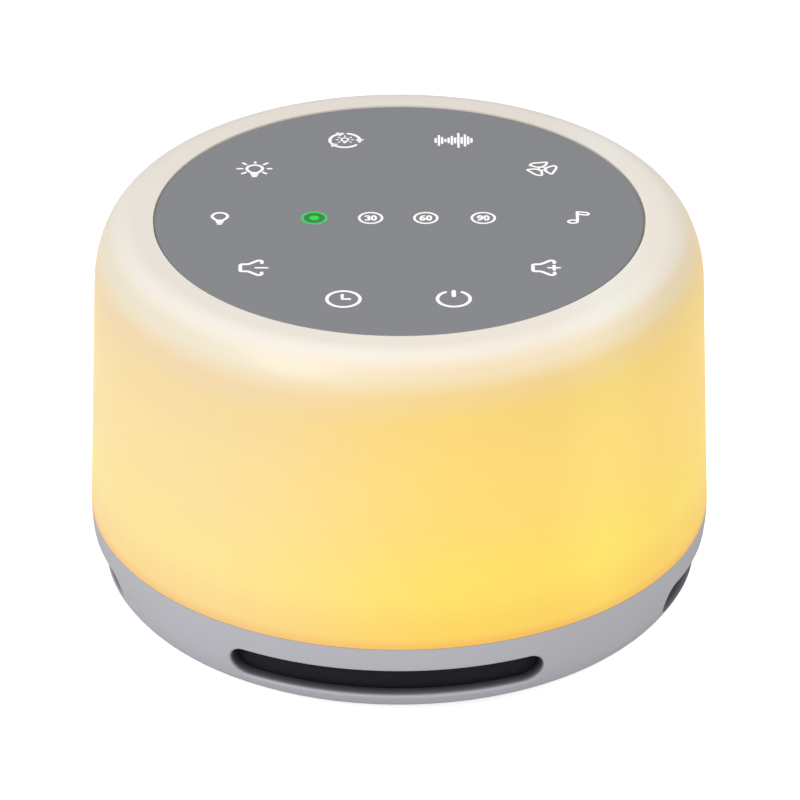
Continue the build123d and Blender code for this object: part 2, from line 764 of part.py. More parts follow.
dome_radius = (dust_cap_radius ** 2 + dust_cap_rise ** 2) / (2 * dust_cap_rise)
with BuildPart() as dust_cap:
    with BuildSketch(Plane.XZ):
        with Locations((0, cap_edge_level - dust_cap_rise + dome_radius)):
            Circle(dome_radius)
            Circle(dome_radius - dust_cap_thickness, mode=Mode.SUBTRACT)
        with Locations((0, cap_edge_level)):
            Rectangle(dust_cap_radius, dome_radius, align=(Align.MIN, Align.MAX),
                      mode=Mode.INTERSECT)
    revolve(axis=Axis.Z)
dust_cap.part.label = "dust_cap"
export_step(dust_cap.part, "parts/dust_cap.step")

with BuildPart() as coil_former:
    with BuildSketch(Plane.XY.offset(former_bottom)):
        Circle(former_outer_radius)
        Circle(former_inner_radius, mode=Mode.SUBTRACT)
    extrude(amount=former_top - former_bottom)
coil_former.part.label = "coil_former"
export_step(coil_former.part, "parts/coil_former.step")

with BuildPart() as voice_coil:
    with BuildSketch(Plane.XY.offset(coil_bottom)):
        Circle(coil_outer_radius)
        Circle(former_outer_radius, mode=Mode.SUBTRACT)
    extrude(amount=coil_height)
voice_coil.part.label = "voice_coil"
export_step(voice_coil.part, "parts/voice_coil.step")

roll_middle = (roll_outer_radius + roll_inner_radius) / 2
roll_radius = (roll_outer_radius - roll_inner_radius) / 2
with BuildPart() as surround:
    with BuildSketch(Plane.XZ):
        with BuildLine():
            Line((surround_outer_radius - seat_play, surround_level),
                 (surround_outer_radius - seat_play, surround_level - surround_thickness))
            Line((surround_outer_radius - seat_play, surround_level - surround_thickness),
                 (roll_outer_radius, surround_level - surround_thickness))
            CenterArc((roll_middle, surround_level - surround_thickness), roll_radius, 0, -180)
            Line((roll_inner_radius, surround_level - surround_thickness),
                 (surround_lip_radius, surround_level - surround_thickness))
            Line((surround_lip_radius, surround_level - surround_thickness),
                 (surround_lip_radius, surround_level))
            Line((surround_lip_radius, surround_level),
                 (roll_inner_radius + surround_thickness, surround_level))
            Line((roll_inner_radius + surround_thickness, surround_level),
                 (roll_inner_radius + surround_thickness, surround_level - surround_thickness))
            CenterArc((roll_middle, surround_level - surround_thickness),
                      roll_radius - surround_thickness, 180, 180)
            Line((roll_outer_radius - surround_thickness, surround_level - surround_thickness),
                 (roll_outer_radius - surround_thickness, surround_level))
            Line((roll_outer_radius - surround_thickness, surround_level),
                 (surround_outer_radius - seat_play, surround_level))
        make_face()
    revolve(axis=Axis.Z)
surround.part.label = "surround"
export_step(surround.part, "parts/surround.step")

# spider: flat rings joined by even waves, glued under its seat and to the former
spider_inner_radius = former_outer_radius
wave_length = (spider_seat_inner_radius - spider_inner_radius - spider_glue_width) / spider_wave_count
wave_start = spider_inner_radius + spider_glue_width
with BuildPart() as spider:
    with BuildSketch(Plane.XZ):
        with BuildLine() as spider_line:
            Line((spider_inner_radius, spider_seat_level), (wave_start, spider_seat_level))
            for wave in range(spider_wave_count):
                crest = wave_start + wave * wave_length
                Polyline((crest, spider_seat_level),
                         (crest + wave_length / 4, spider_seat_level - spider_wave_height),
                         (crest + wave_length * 3 / 4, spider_seat_level - spider_wave_height),
                         (crest + wave_length, spider_seat_level))
            Line((spider_seat_inner_radius, spider_seat_level),
                 (spider_outer_radius, spider_seat_level))
            offset(spider_line.line, amount=spider_thickness, side=Side.RIGHT)
        make_face()
    revolve(axis=Axis.Z)
spider.part.label = "spider"
export_step(spider.part, "parts/spider.step")

# ================================================================ speaker chamber, also the reflector
with BuildPart() as chamber_gasket:
    with BuildSketch(base_plane(chassis_top)):
        Circle(chamber_outer_radius)
        Circle(chamber_inner_radius + chamber_gasket_inset, mode=Mode.SUBTRACT)
    extrude(amount=chamber_gasket_thickness)
chamber_gasket.part.label = "chamber_gasket"
export_step(chamber_gasket.part, "parts/chamber_gasket.step")

with BuildPart() as speaker_chamber:
    with BuildSketch(Plane.XZ):
        with BuildLine():
            Polyline((chamber_inner_radius, chamber_bottom), (chamber_outer_radius, chamber_bottom),
                     (roof_outer_radius, chamber_top), (0, chamber_top), (0, chamber_roof),
                     (roof_inner_radius, chamber_roof), (chamber_inner_radius, chamber_bottom))
        make_face()
    revolve(axis=Axis.Z)
    outer_rim = speaker_chamber.faces().sort_by(Axis.Z)[-1].edges()
    fillet(outer_rim, chamber_edge_fillet)
    with BuildSketch(base_plane(chassis_top)):
        with PolarLocations(chamber_boss_circle, 4):
            Circle(chamber_boss_radius)
    extrude(amount=chamber_boss_height)
    with BuildSketch(base_plane(chassis_top)):
        with PolarLocations(chamber_boss_circle, 4):
            Circle(large_screw_radius + thread_play)
    extrude(amount=chamber_screw_length - chassis_thickness + blind_end, mode=Mode.SUBTRACT)
    # posts for the main board and the hole for the speaker's wires
    with BuildSketch(base_plane(chamber_top)):
        with PolarLocations(main_post_circle, 4, start_angle=cover_post_start):
            Circle(main_post_radius)
    extrude(amount=main_post_height)
    with BuildSketch(base_plane(main_board_bottom)):
        with PolarLocations(main_post_circle, 4, start_angle=cover_post_start):
            Circle(small_screw_radius + thread_play)
    extrude(amount=board_thickness - main_screw_length - blind_end, mode=Mode.SUBTRACT)
    with BuildSketch(base_plane(chamber_top)):
        with Locations((grommet_x, 0)):
            Circle(grommet_radius + thread_play)
    extrude(amount=-chamber_wall, mode=Mode.SUBTRACT)
speaker_chamber.part.label = "speaker_chamber"
export_step(speaker_chamber.part, "parts/speaker_chamber.step")

chamber_screw = screw(large_head_radius, large_head_height, large_screw_radius,
                      chamber_screw_length)
with BuildPart() as chamber_screws:
    with Locations(base_plane(chassis_bottom)):
        with PolarLocations(chamber_boss_circle, 4):
            add(chamber_screw)
chamber_screws.part.label = "chamber_screws"
export_step(chamber_screws.part, "parts/chamber_screws.step")

with BuildPart() as wire_grommet:
    with BuildSketch(base_plane(chamber_roof)):
        with Locations((grommet_x, 0)):
            Circle(grommet_radius)
    extrude(amount=chamber_wall)
    with BuildSketch(base_plane(chamber_top)):
        with Locations((grommet_x, 0)):
            Circle(grommet_lip_radius)
    extrude(amount=grommet_lip_height)
    with BuildSketch(base_plane(chamber_roof)):
        with Locations((grommet_x, 0)):
            with GridLocations(wire_pair_pitch, wire_pair_pitch, 1, 2):
                Circle(wire_radius + thread_play)
    extrude(amount=chamber_wall + grommet_lip_height, mode=Mode.SUBTRACT)
wire_grommet.part.label = "wire_grommet"
export_step(wire_grommet.part, "parts/wire_grommet.step")

# ================================================================ lamp ring
led_step = 360 / lamp_led_count
with BuildPart() as light_board:
    with BuildSketch(base_plane(chassis_top)):
        Circle(light_board_outer_radius)
        Circle(light_board_inner_radius, mode=Mode.SUBTRACT)
        with PolarLocations(lamp_led_circle, 4):
            Circle(small_screw_radius + pass_play, mode=Mode.SUBTRACT)
        with PolarLocations(light_board_inner_radius, 1, start_angle=wire_notch_angle):
            Rectangle(2 * wire_notch_depth, wire_notch_width, mode=Mode.SUBTRACT)
    extrude(amount=board_thickness)
light_board.part.label = "light_board"
export_step(light_board.part, "parts/light_board.step")

with BuildPart() as lamp_leds:
    with BuildSketch(base_plane(light_board_top)):
        with PolarLocations(lamp_led_circle, lamp_led_count, start_angle=led_step / 2):
            Rectangle(lamp_led_side, lamp_led_side)
    extrude(amount=lamp_led_height)
    with BuildSketch(base_plane(light_board_top + lamp_led_height)):
        with PolarLocations(lamp_led_circle, lamp_led_count, start_angle=led_step / 2):
            Circle(lamp_lens_radius)
    extrude(amount=-lamp_lens_depth, mode=Mode.SUBTRACT)
lamp_leds.part.label = "lamp_leds"
export_step(lamp_leds.part, "parts/lamp_leds.step")

light_screw = screw(small_head_radius, small_head_height, small_screw_radius, light_screw_length)
with BuildPart() as light_board_screws:
    with Locations(down_plane(light_board_top)):
        with PolarLocations(lamp_led_circle, 4):
            add(light_screw)
light_board_screws.part.label = "light_board_screws"
export_step(light_board_screws.part, "parts/light_board_screws.step")

with BuildPart() as light_socket:
    with BuildSketch(base_plane(light_board_top)):
        with PolarLocations(lamp_led_circle, 1, start_angle=light_socket_angle):
            Rectangle(socket_depth, socket_width)
    extrude(amount=socket_height)
    with BuildSketch(base_plane(light_board_top + socket_height)):
        with PolarLocations(lamp_led_circle, 1, start_angle=light_socket_angle):
            Rectangle(socket_depth - 2 * socket_wall, socket_width - 2 * socket_wall)
    extrude(amount=-socket_cavity, mode=Mode.SUBTRACT)
light_socket.part.label = "light_socket"
export_step(light_socket.part, "parts/light_socket.step")

# ================================================================ main board on the chamber
with BuildPart() as main_board:
    with BuildSketch(base_plane(main_board_bottom)):
        Circle(main_board_radius)
        with PolarLocations(main_post_circle, 4, start_angle=cover_post_start):
            Circle(small_screw_radius + pass_play, mode=Mode.SUBTRACT)
        with Locations((main_board_radius, 0)):
            Circle(grommet_lip_radius + seat_play, mode=Mode.SUBTRACT)
    extrude(amount=board_thickness)
main_board.part.label = "main_board"
export_step(main_board.part, "parts/main_board.step")

main_screw = screw(small_head_radius, small_head_height, small_screw_radius, main_screw_length)
with BuildPart() as main_board_screws:
    with Locations(down_plane(main_board_top)):
        with PolarLocations(main_post_circle, 4, start_angle=-cover_post_start):
            add(main_screw)
main_board_screws.part.label = "main_board_screws"
export_step(main_board_screws.part, "parts/main_board_screws.step")

with BuildPart() as controller_chip:
    with BuildSketch(base_plane(main_board_top)):
        with Locations(controller_place):
            Rectangle(controller_side, controller_side)
    extrude(amount=controller_height)
    chamfer(controller_chip.faces().sort_by(Axis.Z)[-1].edges(), chip_edge)
controller_chip.part.label = "controller_chip"
export_step(controller_chip.part, "parts/controller_chip.step")

with BuildPart() as sound_memory_chip:
    with BuildSketch(base_plane(main_board_top)):
        with Locations(memory_place):
            Rectangle(memory_side, memory_side)
    extrude(amount=memory_height)
    chamfer(sound_memory_chip.faces().sort_by(Axis.Z)[-1].edges(), chip_edge)
sound_memory_chip.part.label = "sound_memory_chip"
export_step(sound_memory_chip.part, "parts/sound_memory_chip.step")

with BuildPart() as amplifier_chip:
    with BuildSketch(base_plane(main_board_top)):
        with Locations(amplifier_place):
            Rectangle(amplifier_length, amplifier_width)
    extrude(amount=amplifier_height)
    chamfer(amplifier_chip.faces().sort_by(Axis.Z)[-1].edges(), chip_edge)
amplifier_chip.part.label = "amplifier_chip"
export_step(amplifier_chip.part, "parts/amplifier_chip.step")

with BuildPart() as board_capacitors:
    with BuildSketch(base_plane(main_board_top)):
        with Locations(capacitor_place):
            with GridLocations(capacitor_pitch, capacitor_pitch, 1, 2):
                Circle(capacitor_radius)
    extrude(amount=capacitor_height)
    fillet(board_capacitors.edges().group_by(Axis.Z)[-1], capacitor_edge)
board_capacitors.part.label = "board_capacitors"
export_step(board_capacitors.part, "parts/board_capacitors.step")

with BuildPart() as power_inductor:
    with BuildSketch(base_plane(main_board_top)):
        with Locations(inductor_place):
            RectangleRounded(inductor_side, inductor_side, inductor_corner)
    extrude(amount=inductor_height)
    fillet(power_inductor.edges().group_by(Axis.Z)[-1], inductor_edge)
power_inductor.part.label = "power_inductor"
export_step(power_inductor.part, "parts/power_inductor.step")

with BuildPart() as clock_crystal:
    with BuildSketch(base_plane(main_board_top)):
        with Locations(crystal_place):
            RectangleRounded(crystal_length, crystal_width, crystal_corner)
    extrude(amount=crystal_height)
clock_crystal.part.label = "clock_crystal"
export_step(clock_crystal.part, "parts/clock_crystal.step")

# wire sockets open upwards: speaker right, power rear, lamp front
with BuildPart() as board_sockets:
    with BuildSketch(base_plane(main_board_top)):
        with Locations(speaker_socket_place):
            Rectangle(socket_depth, socket_width)
        with Locations(power_socket_place, lamp_socket_place):
            Rectangle(socket_width, socket_depth)
    extrude(amount=socket_height)
    with BuildSketch(base_plane(main_board_top + socket_height)):
        with Locations(speaker_socket_place):
            Rectangle(socket_depth - 2 * socket_wall, socket_width - 2 * socket_wall)
        with Locations(power_socket_place, lamp_socket_place):
            Rectangle(socket_width - 2 * socket_wall, socket_depth - 2 * socket_wall)
    extrude(amount=-socket_cavity, mode=Mode.SUBTRACT)
board_sockets.part.label = "board_sockets"
export_step(board_sockets.part, "parts/board_sockets.step")

with BuildPart() as ribbon_socket:
    with BuildSketch(Plane.XY.offset(main_board_top)):
        with Locations((0, ribbon_socket_y)):
            Rectangle(ribbon_socket_width, ribbon_socket_depth)
    extrude(amount=ribbon_socket_height)
    with BuildSketch(Plane.XZ.offset(ribbon_socket_depth / 2 - ribbon_socket_y)):
        with Locations((0, main_board_top + ribbon_socket_height / 2)):
            Rectangle(ribbon_width + 2 * thread_play, ribbon_thickness + 2 * thread_play)
    extrude(amount=-ribbon_slot_depth, mode=Mode.SUBTRACT)
ribbon_socket.part.label = "ribbon_socket"
export_step(ribbon_socket.part, "parts/ribbon_socket.step")

ribbon_low = main_board_top + ribbon_socket_height / 2
ribbon_high = touch_board_bottom - ribbon_socket_height / 2
ribbon_inner_y = ribbon_socket_y - ribbon_socket_depth / 2 + ribbon_slot_depth
ribbon_bend_y = ribbon_socket_y - ribbon_socket_depth / 2 - ribbon_reach
with BuildPart() as touch_ribbon:
    with BuildSketch(Plane.YZ.offset(-ribbon_width / 2)):
        with BuildLine():
            Line((ribbon_inner_y, ribbon_low), (ribbon_bend_y, ribbon_low))
            ThreePointArc((ribbon_bend_y, ribbon_low),
                          (ribbon_bend_y - (ribbon_high - ribbon_low) / 2,
                           (ribbon_high + ribbon_low) / 2),
                          (ribbon_bend_y, ribbon_high))
            Line((ribbon_bend_y, ribbon_high), (ribbon_inner_y, ribbon_high))
        trace(line_width=ribbon_thickness)
    extrude(amount=ribbon_width)
touch_ribbon.part.label = "touch_ribbon"
export_step(touch_ribbon.part, "parts/touch_ribbon.step")

# ================================================================ base shell with the sound slots
base_across = body_radius - underside_radius
cover_seat_radius = cover_radius + seat_play
inner_across = base_across - base_wall
inner_down = base_depth - base_wall
floor_angle = degrees(asin((split_level - flange_top) / inner_down))
wall_foot_radius = base_curve_radius(flange_top, base_wall)
slot_inside = body_radius - slot_cut_depth
slot_end_angle = degrees(slot_height / 2 / base_curve_radius(slot_centre_level, 0))
sector_reach = 2 * body_radius
sound_slots = ((-90, front_slot_span), (0, side_slot_span), (180, side_slot_span))

with BuildPart() as base_shell:
    with BuildSketch(Plane.XZ):
        with BuildLine():
            EllipticalCenterArc((underside_radius, split_level), base_across, base_depth,
                                -90, arc_size=90)
            Line((body_radius, split_level), (body_radius - base_wall, split_level))
            EllipticalCenterArc((underside_radius, split_level), inner_across, inner_down,
                                0, arc_size=-floor_angle)
            Polyline((wall_foot_radius, flange_top), (flange_inner_radius, flange_top),
                     (flange_inner_radius, cover_top), (cover_seat_radius, cover_top),
                     (cover_seat_radius, foot_stand), (underside_radius, foot_stand))
        make_face()
    revolve(axis=Axis.Z)
    # ribs in the lands between the slots carry the chassis
    with BuildSketch(base_plane(flange_top)):
        with PolarLocations((rib_inner_radius + chassis_radius) / 2, 4, start_angle=rib_start):
            Rectangle(chassis_radius - rib_inner_radius, rib_width)
    extrude(amount=chassis_bottom - flange_top)
    for angle, span in sound_slots:
        half_span = span / 2 - slot_end_angle
        with BuildSketch(base_plane(slot_centre_level - slot_height / 2)):
            with PolarLocations(0, 1, start_angle=angle):
                Polygon((0, 0), (sector_reach, -sector_reach * tan(radians(half_span))),
                        (sector_reach, sector_reach * tan(radians(half_span))), align=None)
            Circle(body_radius + slot_edge_radius, mode=Mode.INTERSECT)
            Circle(slot_inside, mode=Mode.SUBTRACT)
        extrude(amount=slot_height, mode=Mode.SUBTRACT)
        for side in (-1, 1):
            with BuildSketch(radial_plane(angle + side * half_span, slot_inside,
                                          slot_centre_level)):
                Circle(slot_height / 2)
            extrude(amount=slot_cut_depth + slot_edge_radius, mode=Mode.SUBTRACT)
    # power inlet
    with BuildSketch(radial_plane(90, slot_inside, slot_centre_level)):
        SlotOverall(usb_width + 2 * usb_opening_play, usb_height + 2 * usb_opening_play)
    extrude(amount=slot_cut_depth + slot_edge_radius, mode=Mode.SUBTRACT)
    outer_side = base_shell.faces().sort_by(SortBy.AREA)[-1]
    fillet(outer_side.inner_wires().edges(), slot_edge_radius)
    # bosses for the inlet's board
    with BuildSketch(base_plane(flange_top)):
        with Locations((0, usb_screw_y)):
            with GridLocations(usb_screw_pitch, usb_screw_pitch, 2, 1):
                Circle(usb_boss_radius)
    extrude(amount=usb_board_bottom - flange_top)
    with BuildSketch(base_plane(usb_board_bottom)):
        with Locations((0, usb_screw_y)):
            with GridLocations(usb_screw_pitch, usb_screw_pitch, 2, 1):
                Circle(small_screw_radius + thread_play)
    extrude(amount=usb_board_thickness - usb_screw_length, mode=Mode.SUBTRACT)
base_shell.part.label = "base_shell"
export_step(base_shell.part, "parts/base_shell.step")

# cloth strips glued to the wall behind the slots, one each, following its curve
mesh_outside = base_wall + mesh_play
mesh_inside = mesh_outside + mesh_thickness
with BuildPart() as slot_mesh:
    with BuildSketch(Plane.XZ):
        with Locations((underside_radius, split_level)):
            Ellipse(base_across - mesh_outside, base_depth - mesh_outside)
            Ellipse(base_across - mesh_inside, base_depth - mesh_inside, mode=Mode.SUBTRACT)
        with Locations((underside_radius, flange_top)):
            Rectangle(base_across, chassis_bottom - flange_top, align=(Align.MIN, Align.MIN),
                      mode=Mode.INTERSECT)
    revolve(axis=Axis.Z)
    with BuildSketch(base_plane(flange_top)):
        for angle, span in sound_slots:
            half_band = radians(span / 2 + mesh_overlap)
            with PolarLocations(0, 1, start_angle=angle):
                Polygon((0, 0), (sector_reach, -sector_reach * tan(half_band)),
                        (sector_reach, sector_reach * tan(half_band)), align=None)
    extrude(amount=chassis_bottom - flange_top, mode=Mode.INTERSECT)
slot_mesh.part.label = "slot_mesh"
export_step(slot_mesh.part, "parts/slot_mesh.step")

# ================================================================ bottom cover, deflector and feet
with BuildPart() as bottom_cover:
    with BuildSketch(base_plane(cover_bottom)):
        Circle(cover_radius)
    extrude(amount=cover_thickness)
    chamfer(bottom_cover.edges().sort_by(Axis.Z)[0], panel_edge_chamfer)
    with BuildSketch(base_plane(cover_top)):
        with PolarLocations(cover_post_circle, 4, start_angle=cover_post_start):
            Circle(cover_boss_radius)
    extrude(amount=cover_boss_height)
    with BuildSketch(base_plane(cover_bottom)):
        with PolarLocations(cover_post_circle, 4, start_angle=cover_post_start):
            Circle(foot_radius + thread_play)
    extrude(amount=foot_recess, mode=Mode.SUBTRACT)
    with BuildSketch(base_plane(foot_top)):
        with PolarLocations(cover_post_circle, 4, start_angle=cover_post_start):
            Circle(large_head_radius + pass_play)
    extrude(amount=cover_head_depth, mode=Mode.SUBTRACT)
    with BuildSketch(base_plane(cover_screw_seat)):
        with PolarLocations(cover_post_circle, 4, start_angle=cover_post_start):
            Circle(large_screw_radius + pass_play)
    extrude(amount=post_foot_level - cover_screw_seat, mode=Mode.SUBTRACT)
bottom_cover.part.label = "bottom_cover"
export_step(bottom_cover.part, "parts/bottom_cover.step")

with BuildPart() as sound_deflector:
    with BuildSketch(Plane.XZ):
        with BuildLine():
            Polyline((0, cover_top), (deflector_radius, cover_top),
                     (deflector_radius, cover_top + deflector_rim))
            ThreePointArc((deflector_radius, cover_top + deflector_rim),
                          (deflector_waist_radius, cover_top + deflector_waist_rise),
                          (deflector_tip_radius, cover_top + deflector_height))
            Polyline((deflector_tip_radius, cover_top + deflector_height),
                     (0, cover_top + deflector_height), (0, cover_top))
        make_face()
    revolve(axis=Axis.Z)
    fillet(sound_deflector.edges().sort_by(Axis.Z)[-1], deflector_tip_round)
sound_deflector.part.label = "sound_deflector"
export_step(sound_deflector.part, "parts/sound_deflector.step")

cover_screw = screw(large_head_radius, large_head_height - thread_play, large_screw_radius,
                    cover_screw_length)
with BuildPart() as cover_screws:
    with Locations(base_plane(cover_screw_seat)):
        with PolarLocations(cover_post_circle, 4, start_angle=cover_post_start):
            add(cover_screw)
cover_screws.part.label = "cover_screws"
export_step(cover_screws.part, "parts/cover_screws.step")

with BuildPart() as rubber_feet:
    with BuildSketch(base_plane(0)):
        with PolarLocations(cover_post_circle, 4, start_angle=cover_post_start):
            Circle(foot_radius)
    extrude(amount=foot_top)
    fillet(rubber_feet.edges().group_by(Axis.Z)[0], foot_edge_fillet)
rubber_feet.part.label = "rubber_feet"
export_step(rubber_feet.part, "parts/rubber_feet.step")

# ================================================================ power inlet
with BuildPart() as usb_board:
    with BuildSketch(base_plane(usb_board_bottom)):
        with Locations((0, (usb_board_front_y + usb_board_back_y) / 2)):
            Rectangle(usb_board_width, usb_board_front_y - usb_board_back_y)
        Circle(base_curve_radius(usb_board_bottom, base_wall) - seat_play, mode=Mode.INTERSECT)
        with Locations((0, usb_screw_y)):
            with GridLocations(usb_screw_pitch, usb_screw_pitch, 2, 1):
                Circle(small_screw_radius + pass_play, mode=Mode.SUBTRACT)
    extrude(amount=usb_board_thickness)
usb_board.part.label = "usb_board"
export_step(usb_board.part, "parts/usb_board.step")

with BuildPart() as usb_socket:
    with BuildSketch(radial_plane(90, usb_face_y - usb_depth, slot_centre_level)):
        SlotOverall(usb_width, usb_height)
    extrude(amount=usb_depth)
    with BuildSketch(radial_plane(90, usb_face_y, slot_centre_level)):
        SlotOverall(usb_width - 2 * usb_shell_wall, usb_height - 2 * usb_shell_wall)
    extrude(amount=usb_back_wall - usb_depth, mode=Mode.SUBTRACT)
usb_socket.part.label = "usb_socket"
export_step(usb_socket.part, "parts/usb_socket.step")

with BuildPart() as usb_tongue:
    with BuildSketch(radial_plane(90, usb_face_y - usb_depth + usb_back_wall, slot_centre_level)):
        Rectangle(usb_tongue_width, usb_tongue_thickness)
    extrude(amount=usb_tongue_length)
usb_tongue.part.label = "usb_tongue"
export_step(usb_tongue.part, "parts/usb_tongue.step")

usb_screw = screw(small_head_radius, small_head_height, small_screw_radius, usb_screw_length)
with BuildPart() as usb_board_screws:
    with Locations(down_plane(usb_board_top)):
        with Locations((0, -usb_screw_y)):
            with GridLocations(usb_screw_pitch, usb_screw_pitch, 2, 1):
                add(usb_screw)
usb_board_screws.part.label = "usb_board_screws"
export_step(usb_board_screws.part, "parts/usb_board_screws.step")

# ================================================================ wires the housings hold
half_pair = wire_pair_pitch / 2
terminal_top = basket_top + terminal_board_thickness + terminal_lug_height
board_socket_floor = main_board_top + socket_height - socket_cavity
light_socket_floor = light_board_top + socket_height - socket_cavity
solder_level = usb_board_top + wire_radius
base_rotation = (0, 0, base_turn)

with BuildPart() as speaker_wires:
    for side in (-1, 1):
        offset_y = side * half_pair
        add(wire([
            (terminal_lug_radius, side * terminal_lug_pitch / 2, terminal_top),
            (terminal_lug_radius, side * terminal_lug_pitch / 2, 35.5),
            (grommet_x, offset_y, 40.0),
            (grommet_x, offset_y, 52.0),
            (24.4, offset_y, 57.4),
            (19.4, offset_y, wire_crest_level),
            (speaker_socket_place[0], offset_y, socket_mouth_level),
            (speaker_socket_place[0], offset_y, board_socket_floor),
        ]), rotation=base_rotation)
speaker_wires.part.label = "speaker_wires"
export_step(speaker_wires.part, "parts/speaker_wires.step")

with BuildPart() as power_wires:
    for side in (-1, 1):
        offset_x = side * half_pair
        riser_x = power_riser[0] - side * half_pair * cos(radians(wire_notch_angle - 90))
        riser_y = power_riser[1] - side * half_pair * sin(radians(wire_notch_angle - 90))
        add(wire([
            (offset_x, 42.3, solder_level),
            (offset_x - 1.2, 38.4 - 0.6 * offset_x, solder_level + 0.1),
            (-6.4, 35.2 - 1.1 * side, 7.7),
            (-11.4, 34.6 - offset_x, 8.4),
            (riser_x, riser_y, 12.6),
            (riser_x, riser_y, 40.0),
            (-11.6 - 0.75 * side, 31.6 - 0.55 * side, 50.0),
            (-3.4 - 0.4 * side, 28.0 - 0.85 * side, 57.0),
            (1.6 - 0.87 * side, 23.6 - 0.39 * side, wire_crest_level),
            (power_socket_place[0] - offset_x, power_socket_place[1], socket_mouth_level),
            (power_socket_place[0] - offset_x, power_socket_place[1], board_socket_floor),
        ]), rotation=base_rotation)
power_wires.part.label = "power_wires"
export_step(power_wires.part, "parts/power_wires.step")

with BuildPart() as light_wires:
    for side in (-1, 1):
        offset_x = side * half_pair
        riser_x = light_riser[0] + side * half_pair * cos(radians(light_socket_angle + 90))
        riser_y = light_riser[1] + side * half_pair * sin(radians(light_socket_angle + 90))
        add(wire([
            (riser_x, riser_y, light_socket_floor),
            (riser_x, riser_y, 38.0),
            (-13.4 + 0.9 * side, -33.0 - 0.2 * side, 48.0),
            (-10.2 + offset_x, -27.6, 56.4),
            (-8.4 + offset_x, -22.6, wire_crest_level),
            (lamp_socket_place[0] + offset_x, lamp_socket_place[1], socket_mouth_level),
            (lamp_socket_place[0] + offset_x, lamp_socket_place[1], board_socket_floor),
        ]), rotation=base_rotation)
light_wires.part.label = "light_wires"
export_step(light_wires.part, "parts/light_wires.step")
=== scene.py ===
import bpy
from math import cos, pi, radians, sin
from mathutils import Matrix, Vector


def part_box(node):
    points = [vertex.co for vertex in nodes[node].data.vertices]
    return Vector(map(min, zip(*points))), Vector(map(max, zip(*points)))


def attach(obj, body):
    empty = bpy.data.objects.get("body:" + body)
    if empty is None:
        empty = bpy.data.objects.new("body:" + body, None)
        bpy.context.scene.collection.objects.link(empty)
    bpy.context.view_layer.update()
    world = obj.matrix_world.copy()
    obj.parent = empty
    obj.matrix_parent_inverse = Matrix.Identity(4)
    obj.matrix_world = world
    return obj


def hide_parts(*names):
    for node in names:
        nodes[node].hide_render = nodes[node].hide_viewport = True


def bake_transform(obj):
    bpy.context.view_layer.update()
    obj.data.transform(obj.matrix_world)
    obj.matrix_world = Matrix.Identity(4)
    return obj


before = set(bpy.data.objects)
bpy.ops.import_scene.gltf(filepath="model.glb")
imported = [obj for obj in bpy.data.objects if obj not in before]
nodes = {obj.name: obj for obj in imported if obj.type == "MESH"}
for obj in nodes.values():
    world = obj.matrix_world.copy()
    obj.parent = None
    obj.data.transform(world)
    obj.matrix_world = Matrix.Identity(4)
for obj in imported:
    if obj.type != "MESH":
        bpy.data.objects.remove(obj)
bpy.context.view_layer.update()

mm = 0.001
bpy.ops.object.select_all(action="DESELECT")

# ---------------------------------------------------------------- camera
# A long lens looks down at the front of the machine, a little above its middle, so that the panel's
# icons read and the sides stay almost upright.
view_distance = 1.247
view_elevation = radians(30.02)
view_lift = radians(0.7125)
view_swing = radians(-0.007)
view_foot = 15.6 * mm
bpy.ops.object.camera_add(
    location=(0, -view_distance * cos(view_elevation),
              view_foot + view_distance * sin(view_elevation)),
    rotation=(radians(90) - view_elevation + view_lift, 0, view_swing))
camera = bpy.context.object
camera.name = "camera"
camera.data.lens = 328.6
camera.data.sensor_width = 36
camera.data.clip_start = 0.05
camera.data.clip_end = 20
bpy.context.scene.camera = camera

# ---------------------------------------------------------------- table and light
# White table top, open to a look from below, under an even white sky, with a wide soft box from the
# left front and a weak one from the right; a colour renders about as it is written.
white = (1, 1, 1, 1)
sky_strength = 0.62
table_radius = 1.6
table_level = -0.02 * mm
table_glow = 0.75
soft_box_size = 0.7
soft_box_aim = Vector((0, 0, 0.04))


def feed(tree, step, inputs):
    """Gives a node's inputs, by name or number, their values or other nodes' outputs."""
    for name, value in inputs.items():
        if isinstance(value, bpy.types.NodeSocket):
            tree.links.new(value, step.inputs[name])
        else:
            step.inputs[name].default_value = value


def add(tree, kind, inputs):
    """A new node with its inputs."""
    step = tree.nodes.new(kind)
    feed(tree, step, inputs)
    return step


def maths(tree, operation, *values):
    """The result of one step of arithmetic."""
    step = tree.nodes.new("ShaderNodeMath")
    step.operation = operation
    feed(tree, step, dict(enumerate(values)))
    return step.outputs[0]


def new_finish(name, shader):
    """A material with these inputs on its shader."""
    finish = bpy.data.materials.new(name)
    finish.use_nodes = True
    feed(finish.node_tree, finish.node_tree.nodes["Principled BSDF"], shader)
    return finish


scene = bpy.context.scene
scene.view_settings.view_transform = "Standard"

sky = bpy.data.worlds.new("studio_sky")
scene.world = sky
sky.use_nodes = True
tree = sky.node_tree
tree.nodes.clear()
sky_light = add(tree, "ShaderNodeBackground", {"Color": white, "Strength": sky_strength})
sky_seen = add(tree, "ShaderNodeBackground", {"Color": white, "Strength": 1.0})
camera_ray = tree.nodes.new("ShaderNodeLightPath").outputs["Is Camera Ray"]
sky_mix = add(tree, "ShaderNodeMixShader",
              {0: camera_ray, 1: sky_light.outputs[0], 2: sky_seen.outputs[0]})
add(tree, "ShaderNodeOutputWorld", {0: sky_mix.outputs[0]})

